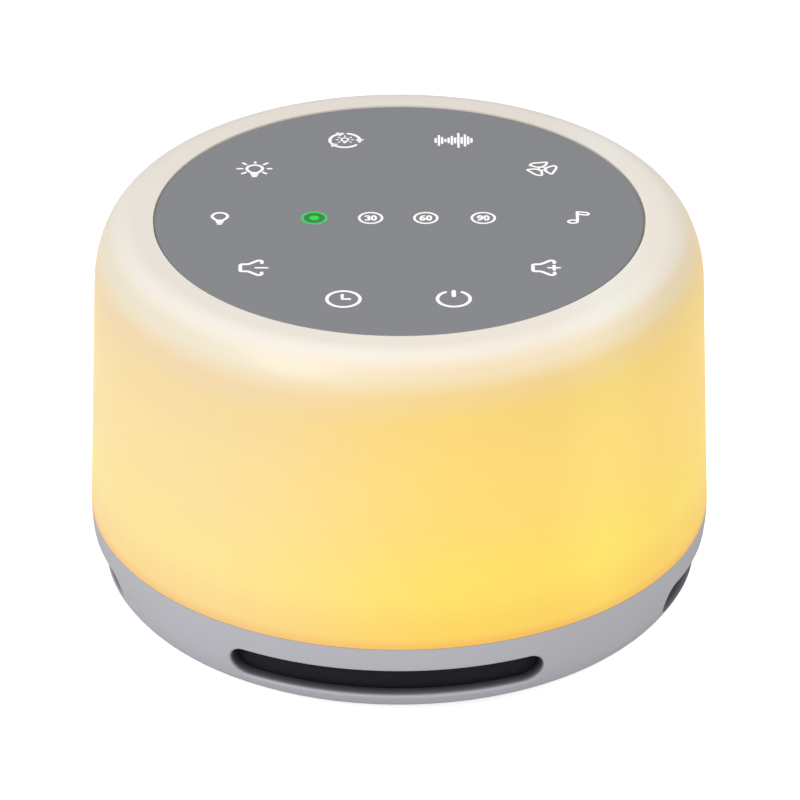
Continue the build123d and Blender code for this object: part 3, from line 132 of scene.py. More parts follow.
bpy.ops.mesh.primitive_circle_add(vertices=64, radius=table_radius, fill_type="NGON",
                                  location=(0, 0, table_level))
table_top = bpy.context.object
table_top.name = "table_top"
bpy.ops.object.transform_apply(location=True, rotation=True, scale=True)
table_finish = new_finish("table_white", {"Base Color": (0.9, 0.9, 0.9, 1), "Roughness": 0.9,
                                          "Specular IOR Level": 0.1})
tree = table_finish.node_tree
camera_ray = tree.nodes.new("ShaderNodeLightPath").outputs["Is Camera Ray"]
glow = add(tree, "ShaderNodeEmission",
           {"Strength": maths(tree, "MULTIPLY", camera_ray, table_glow)})
upper = add(tree, "ShaderNodeAddShader",
            {0: tree.nodes["Principled BSDF"].outputs[0], 1: glow.outputs[0]})
lower = tree.nodes.new("ShaderNodeBsdfTransparent")
from_below = tree.nodes.new("ShaderNodeNewGeometry").outputs["Backfacing"]
both = add(tree, "ShaderNodeMixShader", {0: from_below, 1: upper.outputs[0], 2: lower.outputs[0]})
feed(tree, tree.nodes["Material Output"], {0: both.outputs[0]})
table_top.data.materials.append(table_finish)

for name, place, power in (("soft_box_left", (-0.75, -0.8, 0.75), 6.6),
                           ("soft_box_right", (0.9, -0.5, 0.6), 2.2)):
    bpy.ops.object.light_add(type="AREA", location=place)
    box = bpy.context.object
    box.name = name
    box.data.shape = "DISK"
    box.data.size = soft_box_size
    box.data.energy = power
    box.rotation_euler = (soft_box_aim - Vector(place)).to_track_quat("-Z", "Y").to_euler()

# ---------------------------------------------------------------- touch panel
# One smooth disc of grey moulded plastic with a satin face and a fine even grain, let into the top
# of the shade and stuck down on a ring of foam tape.


def noise(tree, place, scale, detail):
    """Soft noise between 0 and 1."""
    return add(tree, "ShaderNodeTexNoise",
               {"Vector": place, "Scale": scale, "Detail": detail}).outputs[0]


def scaled(tree, colour, factor):
    """A colour or a vector times a number."""
    step = tree.nodes.new("ShaderNodeVectorMath")
    step.operation = "SCALE"
    feed(tree, step, {0: colour, "Scale": factor})
    return step.outputs[0]


def new_group(name, inputs, outputs):
    """A node group, the outputs of its input node, and its output node."""
    group = bpy.data.node_groups.new(name, "ShaderNodeTree")
    for side, sockets in (("INPUT", inputs), ("OUTPUT", outputs)):
        for socket, kind in sockets.items():
            group.interface.new_socket(socket, in_out=side, socket_type="NodeSocket" + kind)
    return group, group.nodes.new("NodeGroupInput").outputs, group.nodes.new("NodeGroupOutput")


pattern_outputs = {"Colour": "Color", "Roughness": "Float", "Height": "Float"}


def grain_group():
    """Fine moulded grain over broad, faint mottling, shared by the plastics, foams and papers."""
    group, given, result = new_group(
        "moulded_grain",
        {"Vector": "Vector", "Colour": "Color", "Tint": "Float", "Grain Scale": "Float",
         "Roughness": "Float", "Roughness Spread": "Float"}, pattern_outputs)
    fine = noise(group, given["Vector"], given["Grain Scale"], 3)
    broad = noise(group, given["Vector"], 45, 2)
    centred = maths(group, "SUBTRACT", maths(group, "ADD", fine, broad), 1.0)
    tint = maths(group, "MULTIPLY_ADD", centred, given["Tint"], 1.0)
    rough = maths(group, "MULTIPLY_ADD", centred, given["Roughness Spread"], given["Roughness"])
    feed(group, result, {"Colour": scaled(group, given["Colour"], tint), "Roughness": rough,
                         "Height": fine})
    return group


moulded_grain = grain_group()


def patterned(name, group, facts, shader, relief, depth, wrap_radius=None):
    """A material that takes its colour, roughness and relief from a node group.

    facts go to the group and shader to the shader; relief is the strength of the bumps and depth
    their height in millimetres. With a radius, the pattern is wrapped round the axis.
    """
    finish = new_finish(name, shader)
    tree = finish.node_tree
    place = tree.nodes.new("ShaderNodeTexCoord").outputs["Object"]
    if wrap_radius:
        axes = add(tree, "ShaderNodeSeparateXYZ", {0: place}).outputs
        angle = maths(tree, "ARCTAN2", axes["Y"], axes["X"])
        around = maths(tree, "MULTIPLY", angle, wrap_radius * mm)
        place = add(tree, "ShaderNodeCombineXYZ", {"X": around, "Y": axes["Z"]}).outputs[0]
    pattern = tree.nodes.new("ShaderNodeGroup")
    pattern.node_tree = group
    feed(tree, pattern, {"Vector": place, **facts})
    bumps = add(tree, "ShaderNodeBump", {"Strength": relief, "Distance": depth * mm,
                                         "Height": pattern.outputs["Height"]})
    skin = tree.nodes["Principled BSDF"]
    feed(tree, skin, {"Base Color": pattern.outputs["Colour"], "Normal": bumps.outputs["Normal"]})
    if "Roughness" in pattern.outputs:
        feed(tree, skin, {"Roughness": pattern.outputs["Roughness"]})
    return finish


def grained(name, colour, roughness, tint=0.06, grain=2600, spread=0.12, bump=0.15, depth=0.02,
            coat=0.0, specular=0.5):
    """A plastic, foam, rubber or paper with the moulded grain."""
    return patterned(
        name, moulded_grain,
        {"Colour": (*colour, 1), "Tint": tint, "Grain Scale": grain, "Roughness": roughness,
         "Roughness Spread": spread},
        {"Coat Weight": coat, "Coat Roughness": 0.12, "Specular IOR Level": specular}, bump, depth)


def dress(node, finish):
    """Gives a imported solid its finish."""
    for slot in nodes[node].material_slots:
        slot.material = finish


panel_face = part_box("touch_panel")[1].z
dress("touch_panel", grained("panel_satin", (0.243, 0.25, 0.266), 0.5, tint=0.03, grain=3200))

# ---------------------------------------------------------------- printed icons
# White screen-printed ink, a few hundredths of a millimetre thick, in ten icons on a ring and one
# row of timer marks across the middle. Every line has round ends and stands upright for the reader.
ink_height = 0.03
ink_base_width = 0.5  # of a line before its own width is applied
icon_ring_radius = 30.0
line_tip = ((-1.0, 0.05), (-0.92, 0.4), (-0.7, 0.72), (-0.38, 0.92))  # how far out, share of width


def corner_rounded(points, radius, closed=False):
    """The same line with each corner turned into a short curve."""
    count = len(points)
    shaped = []
    for i, corner in enumerate(points):
        if not closed and i in (0, count - 1):
            shaped.append(corner)
            continue
        here = Vector(corner)
        before = Vector(points[i - 1]) - here
        after = Vector(points[(i + 1) % count]) - here
        start = here + before.normalized() * min(radius, before.length / 2)
        end = here + after.normalized() * min(radius, after.length / 2)
        for step in range(5):
            t = step / 4
            shaped.append(tuple(start * (1 - t) ** 2 + here * 2 * t * (1 - t) + end * t ** 2))
    return shaped


def arc(centre, radius, start, end, steps=24, flatten=1.0):
    """Points along a printed arc, angles in degrees."""
    turns = [radians(start + (end - start) * i / steps) for i in range(steps + 1)]
    return [(centre[0] + radius * cos(a), centre[1] + radius * flatten * sin(a)) for a in turns]


def ink_line(curve, points, width, closed=False):
    """One printed line, its open ends drawn in to a round."""
    line = [Vector(p) for p in points]
    shares = [1.0] * len(line)
    if not closed:
        for tip, neighbour in ((line[0], line[1]), (line[-1], line[-2])):
            inward = (neighbour - tip).normalized() * width / 2
            line = [tip + inward * out for out, _ in line_tip] + line
            shares = [share for _, share in line_tip] + shares
            line.reverse()
            shares.reverse()
    spline = curve.splines.new("POLY")
    spline.points.add(len(line) - 1)
    spline.use_cyclic_u = closed
    for point, at, share in zip(spline.points, line, shares):
        point.co = (at.x * mm, at.y * mm, 0, 1)
        point.radius = share * width / ink_base_width


def printed(name, place, lines, ink):
    """An icon made of printed lines, each (points, width, closed), flat on the panel at a place."""
    curve = bpy.data.curves.new(name, "CURVE")
    curve.dimensions = "3D"
    curve.bevel_depth = ink_base_width / 2 * mm
    curve.bevel_resolution = 2
    curve.use_fill_caps = True
    for points, width, closed in lines:
        ink_line(curve, points, width, closed)
    piece = bpy.data.objects.new(name, curve)
    bpy.context.collection.objects.link(piece)
    bpy.ops.object.select_all(action="DESELECT")
    piece.select_set(True)
    bpy.context.view_layer.objects.active = piece
    bpy.ops.object.convert(target="MESH")
    piece = bpy.context.object
    piece.scale.z = 2 * ink_height / ink_base_width
    piece.location = (place[0] * mm, place[1] * mm, panel_face)
    bpy.ops.object.transform_apply(location=True, rotation=True, scale=True)
    bpy.ops.object.shade_smooth_by_angle(angle=radians(50))
    piece.data.materials.append(ink)
    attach(piece, "housing")


def glowing(finish, colour, strength):
    """The same finish with an emission: a lamp's own light, or a painted glow."""
    feed(finish.node_tree, finish.node_tree.nodes["Principled BSDF"],
         {"Emission Color": (*colour, 1), "Emission Strength": strength})
    return finish


# the white ink's emission is a painted glow; the green marks glow with the timer lamps under them
white_ink_painted_glow = glowing(grained("printed_white_ink", (0.86, 0.86, 0.86), 0.55, tint=0.03),
                    (1, 1, 1), 0.3)
ring_green_ink = glowing(grained("lit_ring_ink", (0.02, 0.5, 0.08), 0.5, tint=0.03),
                         (0.03, 0.9, 0.12), 0.22)
dot_green_ink = glowing(grained("lit_dot_ink", (0.005, 0.5, 0.015), 0.5, tint=0.03, specular=0.15),
                        (0.0, 1.0, 0.03), 0.4)
dim_green_ink = grained("dim_green_ink", (0.045, 0.25, 0.08), 0.5, tint=0.06, specular=0.2)


def bulb(scale, width, lift=0.0):
    """Outline of a light bulb with a stepped cap under it."""
    glass = [(x, 0.5 + (y - 0.5) * 0.98) for x, y in arc((0, 0.5), 1.3, -32, 212, 30)]
    glass = corner_rounded(glass + [(-0.55, -0.95), (0.55, -0.95)], 0.25, True)
    lines = [([(x * scale, y * scale + lift) for x, y in glass], width, True)]
    for level, half in ((-1.34, 0.5), (-1.8, 0.42), (-2.28, 0.26)):
        lines.append(([(-half * scale, level * scale + lift), (half * scale, level * scale + lift)],
                      0.4 * scale, False))
    return lines


def ring(radius, width, steps=47):
    """A printed ring."""
    return (arc((0, 0), radius, 0, 352.5, steps), width, True)


def ring_place(angle, right=0.0, up=0.0):
    """A place on the ring of icons, set off by a little to the right and up."""
    return (icon_ring_radius * cos(radians(angle)) + right,
            icon_ring_radius * sin(radians(angle)) + up)


# lamp: plain bulb, bulb with rays, and the colour cycle
printed("icon_lamp_switch", ring_place(180), bulb(1.0, 0.5, 0.1), white_ink_painted_glow)

bright = bulb(1.03, 0.5, -0.3)
for start, end in (((-2.9, 0.2), (-2.1, 0.2)), ((2.25, 0.2), (2.8, 0.2)),
                   ((0.05, 2.3), (0.05, 2.65)), ((-2.0, 2.25), (-1.5, 1.75)),
                   ((2.1, 2.25), (1.55, 1.75)), ((-2.1, -1.6), (-1.5, -1.15)),
                   ((1.95, -1.6), (1.45, -1.15))):
    bright.append(([start, end], 0.46, False))
printed("icon_lamp_brightness", ring_place(144, -0.2, 0), bright, white_ink_painted_glow)

cycle = []
for start, end in ((196, 118), (78, 8), (-42, -132)):
    cycle.append((arc((0, 0), 2.56, start, end, 16), 0.54, False))
    # arrowhead: an outline and a smaller one that fills it
    tip = radians(end - 25)
    back = radians(end - 1)
    for outer, inner, share in ((3.2, 1.95, 1.0), (2.95, 2.2, 0.6)):
        head = [Vector((reach * cos(turn), reach * sin(turn)))
                for reach, turn in ((2.6, tip), (outer, back), (inner, back))]
        heart = (head[0] + head[1] + head[2]) / 3
        cycle.append(([tuple(heart + (corner - heart) * share) for corner in head], 0.34, True))
cycle += bulb(0.46, 0.32, 0.1)
bulb_middle = Vector((0, 0.25))
for angle in (0, 40, 90, 140, 180, 222, 318):
    way = Vector((cos(radians(angle)), sin(radians(angle))))
    cycle.append(([bulb_middle + way * 1.15, bulb_middle + way * 1.45], 0.27, False))
printed("icon_lamp_cycle", ring_place(108, 0, -0.25), cycle, white_ink_painted_glow)

# sounds: wave of bars, fan and note
wave = []
wave_height = 5.5
bar_heights = (38, 87, 55, 25, 45, 72, 48, 119, 55, 98, 65, 38)  # in proportion
bar_pitch = 0.555
bar_end = 0.19
shortest_half = 0.12
for i, height in enumerate(bar_heights):
    x = (i - (len(bar_heights) - 1) / 2) * bar_pitch
    half = max(height * wave_height / max(bar_heights) / 2 - bar_end, shortest_half)
    wave.append(([(x, -half), (x, half)], 0.4, False))
printed("icon_noise", ring_place(72, 0, -0.25), wave, white_ink_painted_glow)

blade = [(-0.6, 0.42), (-2.15, 1.25), (-1.6, 2.0), (1.0, 2.45), (0.5, 0.95)]
fan = []
for turn in (0, -120, -240):
    turned = [(x * cos(radians(turn)) - y * sin(radians(turn)),
               x * sin(radians(turn)) + y * cos(radians(turn))) for x, y in blade]
    fan.append((corner_rounded(turned, 0.42, True), 0.44, True))
fan.append((arc((0, 0), 0.55, 0, 345, 16), 0.3, True))
printed("icon_fan", ring_place(36, -0.1, 0.2), fan, white_ink_painted_glow)

flag = [(-0.15, 2.0), (1.45, 1.75), (1.8, 1.25), (1.5, 0.8), (-0.1, 1.1)]
note = [(arc((-0.98, -1.5), 0.78, 0, 350, 24, 0.72), 0.44, True),
        ([(-0.2, -1.45), (-0.2, 1.95)], 0.5, False),
        (corner_rounded(flag, 0.3, True), 0.44, True)]
printed("icon_melody", ring_place(0, 0, 0.2), note, white_ink_painted_glow)

# volume up and down
horn = corner_rounded([(1.5, 1.65), (1.5, 2.4), (0.9, 2.6), (-0.7, 1.25), (-2.05, 1.2),
                       (-2.05, -1.2), (-0.7, -1.25), (0.9, -2.6), (1.5, -2.4), (1.5, -1.65)], 0.35)
quieter = [(horn, 0.6, False), ([(0.5, 0), (2.4, 0)], 0.46, False)]
louder = quieter + [([(1.45, -0.72), (1.45, 0.72)], 0.56, False)]
printed("icon_volume_up", ring_place(-36, -0.13, 0.05), louder, white_ink_painted_glow)
printed("icon_volume_down", ring_place(-144, 0.08, 0.05), quieter, white_ink_painted_glow)

# power and timer
printed("icon_power", ring_place(-72, -0.32, 0.22),
        [(arc((0, 0), 2.68, 121, 419, 48), 0.58, False), ([(0, 0.98), (0, 2.62)], 0.72, False)],
        white_ink_painted_glow)
printed("icon_timer", ring_place(-108, 0.13, 0.14),
        [ring(2.72, 0.56), ([(-0.2, 1.4), (-0.2, 0.0), (1.0, 0.0)], 0.58, False)], white_ink_painted_glow)

# timer row: lit ring, then thirty, sixty and ninety minutes in rings
digit_strokes = {
    "0": [(arc((0, 0), 0.34, 0, 352, 24, 2.25), True)],
    "3": [([(-0.34, 0.62)] + arc((0, 0.4), 0.33, 130, -80, 14, 1.1)
           + arc((0, -0.38), 0.36, 80, -140, 14, 1.1), False)],
    "6": [(arc((0, -0.36), 0.35, 0, 352, 20, 1.15), True),
          ([(-0.35, -0.36), (-0.3, 0.25), (-0.1, 0.62), (0.28, 0.78)], False)],
    "9": [(arc((0, 0.36), 0.35, 0, 352, 20, 1.15), True),
          ([(0.35, 0.36), (0.3, -0.25), (0.1, -0.62), (-0.28, -0.78)], False)],
}


def number(tens):
    """A round number of minutes, by its first digit."""
    lines = []
    for digit, shift in ((tens, -0.54), ("0", 0.54)):
        for points, closed in digit_strokes[digit]:
            lines.append(([(x + shift, y) for x, y in points], 0.38, closed))
    return lines


for name, x, tens in (("thirty", -4.78, "3"), ("sixty", 4.45, "6"), ("ninety", 14.06, "9")):
    printed("timer_mark_" + name, (x, 0), [ring(1.92, 0.42)] + number(tens), white_ink_painted_glow)
lit_place = (-14.2, 0)
printed("timer_mark_lit", lit_place, [ring(2.0, 0.52)], ring_green_ink)
printed("timer_mark_dot", lit_place, [ring(0.4, 0.84, 24)], dot_green_ink)
printed("timer_mark_field", lit_place, [ring(radius, 0.4) for radius in (1.0, 1.3, 1.6)],
        dim_green_ink)

# ---------------------------------------------------------------- lamp shade
# Milky translucent plastic, moulded in one piece. The glow of the ring of warm lamps low inside is
# painted into the wall up to the rounded shoulder, partly as its colour and partly as emission, and
# the crown round the panel stays pale. The wall is deeper yellow on the right than on the left,
# whose tones are paler with painted light from the left; the two sides' tones are mixed evenly
# round the back.
# The back of the wall is darkened with painted shade, and a pale upright band on the right is a
# painted highlight.
shade_foot = 15.6
shade_top = 68.4
# tones up the wall: the lamps' glow is painted in, and the left's are paler with painted light from
# the left
painted_lit_tones_right = (
    (15.7, (0.92, 0.52, 0.1)),
    (18.0, (0.99, 0.66, 0.105)),
    (26.0, (1.0, 0.74, 0.12)),
    (42.0, (1.0, 0.70, 0.165)),
    (57.0, (0.955, 0.675, 0.175)),
    (61.5, (0.91, 0.665, 0.255)),
    (65.5, (0.915, 0.76, 0.5)),
    (68.2, (0.98, 0.90, 0.79)),
)
painted_lit_tones_left = (
    (15.7, (0.90, 0.55, 0.2)),
    (18.0, (0.93, 0.67, 0.26)),
    (26.0, (0.95, 0.75, 0.29)),
    (42.0, (0.93, 0.72, 0.32)),
    (55.0, (0.89, 0.68, 0.335)),
    (60.0, (0.85, 0.66, 0.39)),
    (65.0, (0.85, 0.765, 0.6)),
    (68.2, (0.94, 0.88, 0.80)),
)
lamp_reach = ((15.7, 1.0), (50.0, 1.0), (60.0, 0.8), (66.5, 0.3), (68.3, 0.05))
left_end = -38 * mm
right_start = 14 * mm
front_end = -4 * mm
back_start = 36 * mm
back_mix = 0.6
# a painted highlight: a pale upright band on the right of the wall
painted_highlight_middle = 34 * mm
painted_highlight_half_width = 11 * mm
painted_highlight_tone = (1.03, 1.075, 1.1, 1)
# painted shade on the back of the wall
painted_dimming_start = 8 * mm
painted_dimming_end = 44 * mm
painted_dimming_level = 0.92
crown_body, lit_body = 0.92, 0.47
crown_glow, lit_glow = 0.05, 0.54

shade_finish = patterned(
    "milky_shade", moulded_grain,
    {"Grain Scale": 1800, "Roughness": 0.42, "Roughness Spread": 0.1},
    {"Specular IOR Level": 0.35, "Coat Weight": 0.15, "Coat Roughness": 0.25,
     "Emission Strength": 1.0}, 0.08, 0.02)
tree = shade_finish.node_tree


def spanned(tree, value, low, high, to_low=0.0, to_high=1.0, smooth=False):
    """A value taken from one range to another and held at the ends."""
    step = add(tree, "ShaderNodeMapRange", {"Value": value, "From Min": low, "From Max": high,
                                            "To Min": to_low, "To Max": to_high})
    if smooth:
        step.interpolation_type = "SMOOTHSTEP"
    return step.outputs[0]


def mixed(tree, factor, a, b, kind="RGBA", way="MIX"):
    """Two colours or numbers mixed."""
    step = tree.nodes.new("ShaderNodeMix")
    step.data_type = kind
    step.blend_type = way
    feed(tree, step, {"Factor": factor, "A": a, "B": b})
    return step.outputs["Result"]


def ramp_up(stops, height):
    """A colour ramp up the shade, its stops given in millimetres above the table."""
    ramp = add(tree, "ShaderNodeValToRGB", {"Fac": height})
    ramp.color_ramp.interpolation = "EASE"
    marks = ramp.color_ramp.elements
    while len(marks) < len(stops):
        marks.new(0.5)
    for mark, (level, tone) in zip(marks, stops):
        mark.position = (level - shade_foot) / (shade_top - shade_foot)
        mark.color = (*tone, 1) if isinstance(tone, tuple) else (tone, tone, tone, 1)
    return ramp.outputs["Color"]


place = tree.nodes["Texture Coordinate"].outputs["Object"]
axes = add(tree, "ShaderNodeSeparateXYZ", {0: place}).outputs
height = spanned(tree, axes["Z"], shade_foot * mm, shade_top * mm)
rightward = spanned(tree, axes["X"], left_end, right_start, smooth=True)
rearward = spanned(tree, axes["Y"], front_end, back_start, smooth=True)
sides = mixed(tree, rearward, rightward, back_mix, "FLOAT")
tone = mixed(tree, sides, ramp_up(painted_lit_tones_left, height), ramp_up(painted_lit_tones_right, height))
# the painted highlight band on the right
off_painted_highlight = maths(tree, "ABSOLUTE", maths(tree, "SUBTRACT", axes["X"], painted_highlight_middle))
on_painted_highlight = spanned(tree, off_painted_highlight, painted_highlight_half_width, 0, smooth=True)
tone = mixed(tree, on_painted_highlight, tone, painted_highlight_tone, way="MULTIPLY")

# the lamps' glow, painted in partly as base colour and partly as emission
lamplight = ramp_up(lamp_reach, height)
body_share = spanned(tree, lamplight, 0, 1, crown_body, lit_body)
glow_share = spanned(tree, lamplight, 0, 1, crown_glow, lit_glow)
cloudy = maths(tree, "MULTIPLY_ADD", noise(tree, place, 30, 2), 0.05, 0.975)
# the back of the wall darkened with painted shade
painted_rear_dimming = spanned(tree, axes["Y"], painted_dimming_start, painted_dimming_end, 1.0, painted_dimming_level)
body = scaled(tree, scaled(tree, tone, body_share), maths(tree, "MULTIPLY", cloudy, painted_rear_dimming))
feed(tree, tree.nodes["Principled BSDF"],
     {"Base Color": body, "Emission Color": scaled(tree, tone, glow_share)})
dress("lamp_shade", shade_finish)

# ---------------------------------------------------------------- base shell
# Pale grey plastic ring moulded with a satin spark-eroded texture; its long rounded slots let the
# sound out, and the shade's plate is screwed down on its ribs. The slots' throats are darkened with
# painted shade, deeper inward and towards the top of each slot.
base_top = 15.6
base_height = 14.1
base_flare = 6.9
base_inner_radius = 45.6
slot_low = 5.3
slot_high = 11.4
throat_start = 0.12
wall_thickness = 2.4
wall_margin = 0.12
# painted shade in the slots: how fast it deepens inward, low and high in a slot, and its colour
slot_shade_rate_low = 0.95
slot_shade_rate_high = 3.2
slot_shade_black = (0.022, 0.022, 0.029, 1)

base_satin = grained("base_satin", (0.445, 0.45, 0.5), 0.48, tint=0.04, grain=2400, bump=0.2)
tree = base_satin.node_tree
axes = add(tree, "ShaderNodeSeparateXYZ",
           {0: tree.nodes["Texture Coordinate"].outputs["Object"]}).outputs
rightward, rearward, level = [maths(tree, "MULTIPLY", axes[axis], 1 / mm) for axis in "XYZ"]


def wall_radius(inset):
    """Radius of the bowl's outer skin, or of a face inset from it, at each level."""
    fall = maths(tree, "DIVIDE", maths(tree, "SUBTRACT", base_top, level), base_height - inset)
    room = maths(tree, "SUBTRACT", 1.0, maths(tree, "MULTIPLY", fall, fall))
    swell = maths(tree, "SQRT", maths(tree, "MAXIMUM", room, 0.0))
    return maths(tree, "MULTIPLY_ADD", swell, base_flare - inset, base_inner_radius)


radius = maths(tree, "SQRT", maths(tree, "ADD", maths(tree, "MULTIPLY", rightward, rightward),
                                   maths(tree, "MULTIPLY", rearward, rearward)))
inside = maths(tree, "SUBTRACT", wall_radius(wall_thickness), wall_margin)
in_slot = maths(tree, "MULTIPLY", maths(tree, "GREATER_THAN", level, slot_low),
                maths(tree, "LESS_THAN", level, slot_high))
in_throat = maths(tree, "MULTIPLY", maths(tree, "GREATER_THAN", radius, inside), in_slot)
# painted shade, darker the deeper into the slot and the higher up it
depth = maths(tree, "SUBTRACT", wall_radius(0), radius)
sunk = maths(tree, "MAXIMUM", maths(tree, "SUBTRACT", depth, throat_start), 0.0)
rate = spanned(tree, level, slot_low, slot_high, slot_shade_rate_low, slot_shade_rate_high)
unshaded = maths(tree, "EXPONENT", maths(tree, "MULTIPLY", maths(tree, "MULTIPLY", sunk, rate), -1.0))
painted_slot_shade = maths(tree, "MULTIPLY", maths(tree, "SUBTRACT", 1.0, unshaded), in_throat)
satin = tree.nodes["Group"].outputs["Colour"]
feed(tree, tree.nodes["Principled BSDF"], {"Base Color": mixed(tree, painted_slot_shade, satin, slot_shade_black)})
dress("base_shell", base_satin)

# ---------------------------------------------------------------- cloth behind the slots
# Fine black acoustic cloth, plain woven, cut in three strips that are glued to the inside of the
# wall, one behind each slot.
cloth_radius = 48.5


def weave_group():
    """Plain weave: two sets of threads that pass over and under each other in turn."""
    group, given, result = new_group(
        "plain_weave", {"Vector": "Vector", "Thread Colour": "Color", "Hole Colour": "Color",
                        "Threads per Metre": "Float"},
        {"Colour": "Color", "Height": "Float"})
    turns = scaled(group, given["Vector"], given["Threads per Metre"])
    axes = add(group, "ShaderNodeSeparateXYZ", {0: turns}).outputs
    across, along = [maths(group, "SINE", maths(group, "MULTIPLY", axes[axis], pi))
                     for axis in "XY"]
    lift = maths(group, "MULTIPLY_ADD", maths(group, "MULTIPLY", across, along), 0.25, 0.5)
    warp = maths(group, "MULTIPLY", maths(group, "ABSOLUTE", across), lift)
    weft = maths(group, "MULTIPLY", maths(group, "ABSOLUTE", along),
                 maths(group, "SUBTRACT", 1.0, lift))
    height = maths(group, "MULTIPLY", maths(group, "MAXIMUM", warp, weft), 1.4)
    colour = mixed(group, height, given["Hole Colour"], given["Thread Colour"])
    feed(group, result, {"Colour": colour, "Height": height})
    return group


plain_weave = weave_group()


def woven(name, thread, hole, pitch, wrap_radius=None, depth=0.12):
    """A cloth, laid flat, or wrapped round the axis at a radius in millimetres."""
    return patterned(
        name, plain_weave,
        {"Thread Colour": (*thread, 1), "Hole Colour": (*hole, 1),
         "Threads per Metre": 1000 / pitch},
        {"Roughness": 0.9, "Specular IOR Level": 0.2}, 0.8, depth, wrap_radius)


dress("slot_mesh", woven("slot_cloth", (0.02, 0.02, 0.028), (0.005, 0.005, 0.008), 0.45,
                         cloth_radius))

# ---------------------------------------------------------------- bottom cover, feet and screws
# Grey moulded cover with a coarser texture, held by four long screws that go up into the chassis
# posts; soft rubber feet are glued over their heads. All screws are zinc-plated steel.
dress("bottom_cover", grained("cover_texture", (0.36, 0.362, 0.385), 0.62, tint=0.1, grain=1300,
                              bump=0.45, depth=0.04))
dress("rubber_feet", grained("foot_rubber", (0.05, 0.05, 0.054), 0.72, tint=0.2, grain=1600,
                             bump=0.35, depth=0.03))


def metal_group():
    """Drawn or turned metal: fine scratches, a faint tarnish and uneven polish."""
    group, given, result = new_group(
        "worked_metal", {"Vector": "Vector", "Colour": "Color", "Roughness": "Float",
                         "Tarnish": "Float"}, pattern_outputs)
    drawn = add(group, "ShaderNodeVectorMath", {0: given["Vector"], 1: (1, 1, 9)})
    drawn.operation = "MULTIPLY"
    scratch = noise(group, drawn.outputs[0], 1400, 4)
    dull = maths(group, "MULTIPLY", noise(group, given["Vector"], 220, 3), given["Tarnish"])
    bright = maths(group, "SUBTRACT", 1.0, dull)
    rough = maths(group, "MULTIPLY_ADD", scratch, 0.22, given["Roughness"])
    feed(group, result, {"Colour": scaled(group, given["Colour"], bright), "Roughness": rough,
                         "Height": scratch})
    return group


worked_metal = metal_group()


def metallic(name, colour, roughness, tarnish=0.3, depth=0.008):
    """A bare or plated metal."""
    return patterned(name, worked_metal,
                     {"Colour": (*colour, 1), "Roughness": roughness, "Tarnish": tarnish},
                     {"Metallic": 1.0}, 0.3, depth)


screw_zinc = metallic("screw_zinc", (0.62, 0.63, 0.66), 0.24)
for screws in ("cover_screws", "shade_screws", "chamber_screws", "speaker_screws",
               "light_board_screws", "main_board_screws", "touch_board_screws", "usb_board_screws"):
    dress(screws, screw_zinc)

# ---------------------------------------------------------------- power inlet
# USB-C socket: a drawn, nickel-plated steel shell round a black tongue with two rows of gilt
# contacts, soldered to its own small board behind the rear opening.
inlet_turn = radians(-2.65)
contact_count = 12
contact_pitch = 0.5
contact_size = (0.26 * mm, 3.4 * mm, 0.06 * mm)
contact_set_back = 0.35
contact_face = 0.37
contact_edge = 0.02


def joined(pieces, name, place, turn, finish, smooth=None):
    """Several meshes as one, turned, put in place and carried by the housing."""
    bpy.ops.object.select_all(action="DESELECT")
    for piece in pieces:
        piece.select_set(True)
    bpy.context.view_layer.objects.active = pieces[0]
    bpy.ops.object.transform_apply(location=True, rotation=True, scale=True)
    bpy.ops.object.join()
    whole = bpy.context.object
    whole.name = name
    whole.location = place
    whole.rotation_euler = turn
    bpy.ops.object.transform_apply(location=True, rotation=True, scale=True)
    if smooth:
        bpy.ops.object.shade_smooth_by_angle(angle=radians(smooth))
    whole.data.materials.append(finish)
    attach(whole, "housing")


dress("usb_socket", metallic("inlet_nickel", (0.66, 0.65, 0.63), 0.16, tarnish=0.15))
dress("usb_tongue", grained("tongue_nylon", (0.02, 0.02, 0.022), 0.5))
contact_gilt = metallic("contact_gilt", (0.83, 0.6, 0.24), 0.2, tarnish=0.1)
contacts = []
for row in (-1, 1):
    for i in range(contact_count):
        bpy.ops.mesh.primitive_cube_add(
            size=1, scale=contact_size,
            location=((i - (contact_count - 1) / 2) * contact_pitch * mm, contact_set_back * mm,
                      row * contact_face * mm))
        contacts.append(bpy.context.object)
        bpy.ops.object.mode_set(mode="EDIT")
        bpy.ops.mesh.bevel(offset=contact_edge * mm, segments=2)
        bpy.ops.object.mode_set(mode="OBJECT")
tongue_low, tongue_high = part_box("usb_tongue")
joined(contacts, "inlet_contacts", (tongue_low + tongue_high) / 2, (0, 0, inlet_turn), contact_gilt)

# ---------------------------------------------------------------- circuit boards
# Glass-epoxy boards under a solder mask, with tracks just showing as raised lines; the lamp ring's
# board is masked white so that it throws the light back.


def board_group():
    """Solder mask over copper tracks that run in short straight steps."""
    group, given, result = new_group(
        "masked_board", {"Vector": "Vector", "Mask Colour": "Color", "Track Colour": "Color"},
        pattern_outputs)
    steps = add(group, "ShaderNodeTexVoronoi", {"Vector": given["Vector"], "Scale": 190})
    steps.distance = "MANHATTAN"
    bands = maths(group, "PINGPONG", steps.outputs["Distance"], 0.09)
    copper = spanned(group, bands, 0.04, 0.055)
    gloss = spanned(group, noise(group, given["Vector"], 300, 2), 0, 1, 0.25, 0.45)
    colour = mixed(group, copper, given["Mask Colour"], given["Track Colour"])
    feed(group, result, {"Colour": colour, "Roughness": gloss, "Height": copper})
    return group


masked_board = board_group()


def board_finish(name, mask, track):
    """A board's mask and track colours."""
    return patterned(name, masked_board, {"Mask Colour": (*mask, 1), "Track Colour": (*track, 1)},
                     {}, 0.4, 0.03)


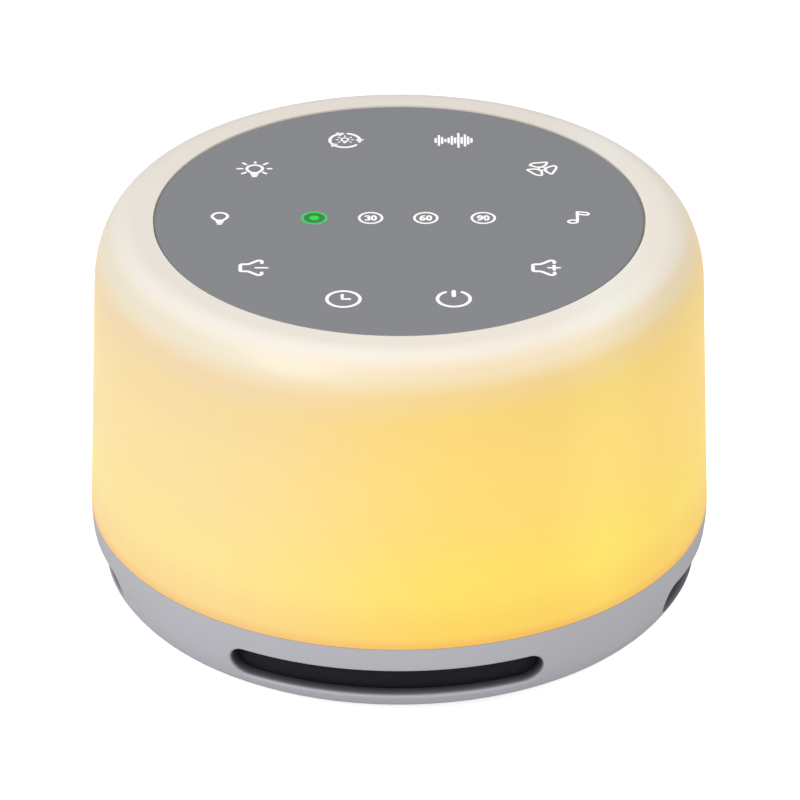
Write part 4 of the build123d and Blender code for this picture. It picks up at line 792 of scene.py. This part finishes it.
green_board = board_finish("board_green", (0.012, 0.1, 0.045), (0.03, 0.2, 0.09))
for board in ("main_board", "touch_board", "usb_board"):
    dress(board, green_board)
dress("light_board", board_finish("board_white", (0.78, 0.78, 0.75), (0.7, 0.7, 0.66)))

# ---------------------------------------------------------------- chips and their legs
# Moulded black epoxy packages; tinned legs bend out and down from two or four sides and are
# soldered to the board.
leg_thickness = 0.14
leg_width = 0.24
leg_root = 0.05  # inside the package
leg_shoulder = 0.47
leg_slope = 0.25
leg_foot = 0.45

chip_epoxy = grained("chip_epoxy", (0.018, 0.018, 0.02), 0.55, tint=0.15, grain=4000, bump=0.3)
leg_tin = metallic("leg_tin", (0.72, 0.72, 0.74), 0.22, tarnish=0.2)


def chip_legs(node, per_side, sides, pitch, board_face, turn=inlet_turn, down=False):
    """Tinned legs round a chip: a flat strip drawn out, down to the board and out again."""
    dress(node, chip_epoxy)
    low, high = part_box(node)
    middle = (low + high) / 2
    shrink = cos(turn) + abs(sin(turn))
    half = [reach / 2 / mm / shrink for reach in (high.x - low.x, high.y - low.y)]
    rise = abs(middle.z - board_face) / mm
    legs = []
    for side in sides:
        around = radians(90 * side)
        for i in range(per_side):
            bpy.ops.mesh.primitive_plane_add(size=1, rotation=(0, radians(90), 0),
                                             location=((half[side % 2] - leg_root) * mm, 0, 0))
            leg = bpy.context.object
            leg.scale = (leg_thickness * mm, leg_width * mm, 1)
            bpy.ops.object.transform_apply(location=True, rotation=True, scale=True)
            bpy.ops.object.mode_set(mode="EDIT")
            bpy.ops.mesh.select_all(action="SELECT")
            for out, up in ((leg_shoulder, 0), (leg_slope, leg_thickness / 2 - rise),
                            (leg_foot, 0)):
                bpy.ops.mesh.extrude_region_move(
                    TRANSFORM_OT_translate={"value": (out * mm, 0, up * mm)})
            bpy.ops.mesh.select_all(action="SELECT")
            bpy.ops.mesh.normals_make_consistent(inside=False)
            bpy.ops.object.mode_set(mode="OBJECT")
            offset = (i - (per_side - 1) / 2) * pitch * mm
            leg.location = (-sin(around) * offset, cos(around) * offset, 0)
            leg.rotation_euler = (0, 0, around)
            legs.append(leg)
    joined(legs, node + "_legs", middle, (radians(180) if down else 0, 0, turn), leg_tin)


board_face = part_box("main_board")[1].z
chip_legs("controller_chip", 11, (0, 1, 2, 3), 0.65, board_face)
chip_legs("sound_memory_chip", 4, (0, 2), 1.27, board_face)
chip_legs("amplifier_chip", 4, (1, 3), 1.27, board_face)
chip_legs("touch_chip", 11, (0, 1, 2, 3), 0.65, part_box("touch_board")[0].z, turn=0, down=True)

# ---------------------------------------------------------------- other board parts
# Aluminium-can capacitors, a shielded inductor, a metal-can crystal, nylon sockets and the flat
# film cable between the two boards.
dress("board_capacitors", metallic("capacitor_aluminium", (0.72, 0.73, 0.76), 0.3, tarnish=0.15))
dress("clock_crystal", metallic("crystal_can", (0.75, 0.74, 0.7), 0.22, tarnish=0.1))
dress("power_inductor", grained("inductor_ferrite", (0.07, 0.07, 0.075), 0.65, tint=0.3, grain=900,
                                bump=0.5))
socket_nylon = grained("socket_nylon", (0.72, 0.69, 0.6), 0.5, tint=0.08)
for socket in ("board_sockets", "light_socket", "ribbon_socket", "touch_socket"):
    dress(socket, socket_nylon)
dress("touch_ribbon", grained("ribbon_film", (0.7, 0.72, 0.76), 0.3, tint=0.04, coat=0.4))

# ---------------------------------------------------------------- under the panel
# Foam tape, conductive foam pillars under the touch marks, and a black block that keeps the four
# indicator lamps apart.
dress("panel_adhesive", grained("foam_tape", (0.68, 0.67, 0.64), 0.9, tint=0.15, grain=1400,
                                bump=0.6, depth=0.05))
dress("touch_pads", grained("conductive_foam", (0.06, 0.06, 0.065), 0.92, tint=0.5, grain=1100,
                            bump=0.8, depth=0.08))
dress("led_baffle", grained("baffle_plastic", (0.015, 0.015, 0.016), 0.6, tint=0.1))
dress("timer_leds", grained("indicator_resin", (0.75, 0.72, 0.5), 0.3, tint=0.08, coat=0.5))

# ---------------------------------------------------------------- lamp ring
# Square white lamps soldered round the ring-shaped board, each with a round well of yellow resin
# that stands a little proud of its light source.
lamp_count = 16
lamp_ring_radius = 39.8 * mm
lens_radius = 1.88 * mm
lens_depth = 0.4 * mm
lens_dome = ((0.5 * mm, 0.08 * mm), (0.6 * mm, 0.04 * mm))  # each step inwards and its rise

dress("lamp_leds", grained("lamp_package", (0.85, 0.84, 0.8), 0.45, tint=0.04))
resin = glowing(grained("lamp_resin", (0.85, 0.55, 0.08), 0.25, tint=0.06, coat=0.6),
                (1.0, 0.72, 0.3), 1.0)
lamp_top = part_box("lamp_leds")[1].z
lenses = []
for i in range(lamp_count):
    bpy.ops.mesh.primitive_cylinder_add(vertices=24, radius=lens_radius, depth=lens_depth)
    lens = bpy.context.object
    bpy.ops.object.mode_set(mode="EDIT")
    bpy.ops.mesh.select_mode(type="FACE")
    bpy.ops.mesh.select_all(action="DESELECT")
    bpy.ops.object.mode_set(mode="OBJECT")
    for face in lens.data.polygons:
        face.select = face.normal.z > 0.9
    bpy.ops.object.mode_set(mode="EDIT")
    for inwards, rise in lens_dome:
        bpy.ops.mesh.inset(thickness=inwards)
        bpy.ops.transform.translate(value=(0, 0, rise))
    bpy.ops.object.mode_set(mode="OBJECT")
    turn = radians(360 / lamp_count * (i + 0.5)) + inlet_turn
    lens.location = (lamp_ring_radius * cos(turn), lamp_ring_radius * sin(turn),
                     lamp_top - lens_depth / 2)
    lenses.append(lens)
joined(lenses, "lamp_lenses", (0, 0, 0), (0, 0, 0), resin, smooth=40)

# ---------------------------------------------------------------- chassis and speaker chamber
# White moulded plastic: the plate that carries everything and the closed cup behind the speaker,
# whose outside throws the lamps' light back into the shade. Foam rings seal both.
moulded_white = grained("moulded_white", (0.8, 0.8, 0.78), 0.5, tint=0.04, grain=2200)
dress("chassis", moulded_white)
dress("speaker_chamber", moulded_white)
seal_foam = grained("seal_foam", (0.025, 0.025, 0.026), 0.95, tint=0.5, grain=1000, bump=0.8,
                    depth=0.08)
dress("chamber_gasket", seal_foam)
dress("speaker_gasket", seal_foam)
dress("wire_grommet", grained("grommet_rubber", (0.03, 0.03, 0.032), 0.7, tint=0.15))
dress("sound_deflector", grained("deflector_plastic", (0.045, 0.045, 0.048), 0.5, tint=0.08))

# ---------------------------------------------------------------- loudspeaker
# Painted steel basket with a ferrite ring magnet between zinc-plated iron plates; a pressed paper
# cone with a cloth cap hangs in a rubber surround and an amber impregnated spider.
dress("speaker_frame", grained("basket_paint", (0.02, 0.02, 0.022), 0.4, tint=0.1, coat=0.3))
plated_iron = metallic("plated_iron", (0.6, 0.57, 0.5), 0.28, tarnish=0.35)
dress("top_plate", plated_iron)
dress("pole_yoke", plated_iron)
dress("ring_magnet", grained("magnet_ferrite", (0.05, 0.05, 0.055), 0.7, tint=0.35, grain=700,
                             bump=0.5, depth=0.04))
dress("speaker_cone", grained("cone_paper", (0.03, 0.03, 0.034), 0.85, tint=0.6, grain=1200,
                              bump=0.8, depth=0.08))
dress("dust_cap", woven("cap_cloth", (0.03, 0.03, 0.033), (0.008, 0.008, 0.009), 0.35))
dress("coil_former", metallic("former_foil", (0.78, 0.78, 0.8), 0.2, tarnish=0.05))
dress("speaker_terminals", grained("terminal_laminate", (0.22, 0.11, 0.05), 0.6, tint=0.3))

# the voice coil is enamelled copper wire, wound in close turns
wound_copper = new_finish("wound_copper", {"Metallic": 0.9, "Roughness": 0.3})
tree = wound_copper.node_tree
place = tree.nodes.new("ShaderNodeTexCoord").outputs["Object"]
turns = add(tree, "ShaderNodeTexWave", {"Vector": place, "Scale": 1000})
turns.bands_direction = "Z"
crest = turns.outputs["Fac"]
bumps = add(tree, "ShaderNodeBump", {"Strength": 0.8, "Distance": 0.05 * mm, "Height": crest})
# the grooves between the turns are darkened with painted shade
feed(tree, tree.nodes["Principled BSDF"],
     {"Base Color": mixed(tree, crest, (0.2, 0.06, 0.02, 1), (0.75, 0.32, 0.12, 1)),
      "Normal": bumps.outputs["Normal"]})
dress("voice_coil", wound_copper)

# ---------------------------------------------------------------- surround and spider
# Moulded rubber roll and heat-pressed resin cloth that hang the cone in its basket. Each is glued
# to the basket outside and to the cone inside and flexes in between; here each is cut into wedges
# edge to edge.
cut_tolerance = 0.001 * mm


def flexing_wedges(node, finish, count):
    """The ring cut into wedges edge to edge in its place, the ring itself hidden."""
    dress(node, finish)
    wedge_angle = 360 / count
    for i in range(count):
        bpy.ops.object.select_all(action="DESELECT")
        wedge = bpy.data.objects.new("%s_wedge_%d" % (node, i + 1), nodes[node].data.copy())
        bpy.context.collection.objects.link(wedge)
        wedge.select_set(True)
        bpy.context.view_layer.objects.active = wedge
        bpy.ops.object.mode_set(mode="EDIT")
        bpy.ops.mesh.select_all(action="SELECT")
        bpy.ops.mesh.remove_doubles(threshold=cut_tolerance)
        for edge, inner in ((i, True), (i + 1, False)):
            turn = radians(wedge_angle * edge)
            bpy.ops.mesh.select_all(action="SELECT")
            bpy.ops.mesh.bisect(plane_co=(0, 0, 0), plane_no=(-sin(turn), cos(turn), 0),
                                use_fill=True, clear_inner=inner, clear_outer=not inner,
                                threshold=cut_tolerance)
        bpy.ops.mesh.select_all(action="SELECT")
        bpy.ops.mesh.normals_make_consistent(inside=False)
        bpy.ops.object.mode_set(mode="OBJECT")
        bpy.ops.object.shade_smooth_by_angle(angle=radians(35))
        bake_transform(wedge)
        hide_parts(node)


flexing_wedges("surround", grained("surround_rubber", (0.02, 0.02, 0.021), 0.6, tint=0.1),
               count=24)
flexing_wedges("spider", woven("spider_cloth", (0.5, 0.3, 0.09), (0.2, 0.1, 0.03), 0.5, depth=0.04),
               count=12)

# ---------------------------------------------------------------- wires
# Soft silicone-insulated pairs, soldered or plugged at both ends: red to the speaker, black from
# the inlet, white to the lamp ring.
dress("speaker_wires", grained("wire_red", (0.45, 0.02, 0.02), 0.5, tint=0.1))
dress("power_wires", grained("wire_black", (0.025, 0.025, 0.027), 0.5, tint=0.1))
dress("light_wires", grained("wire_white", (0.72, 0.7, 0.64), 0.5, tint=0.1))
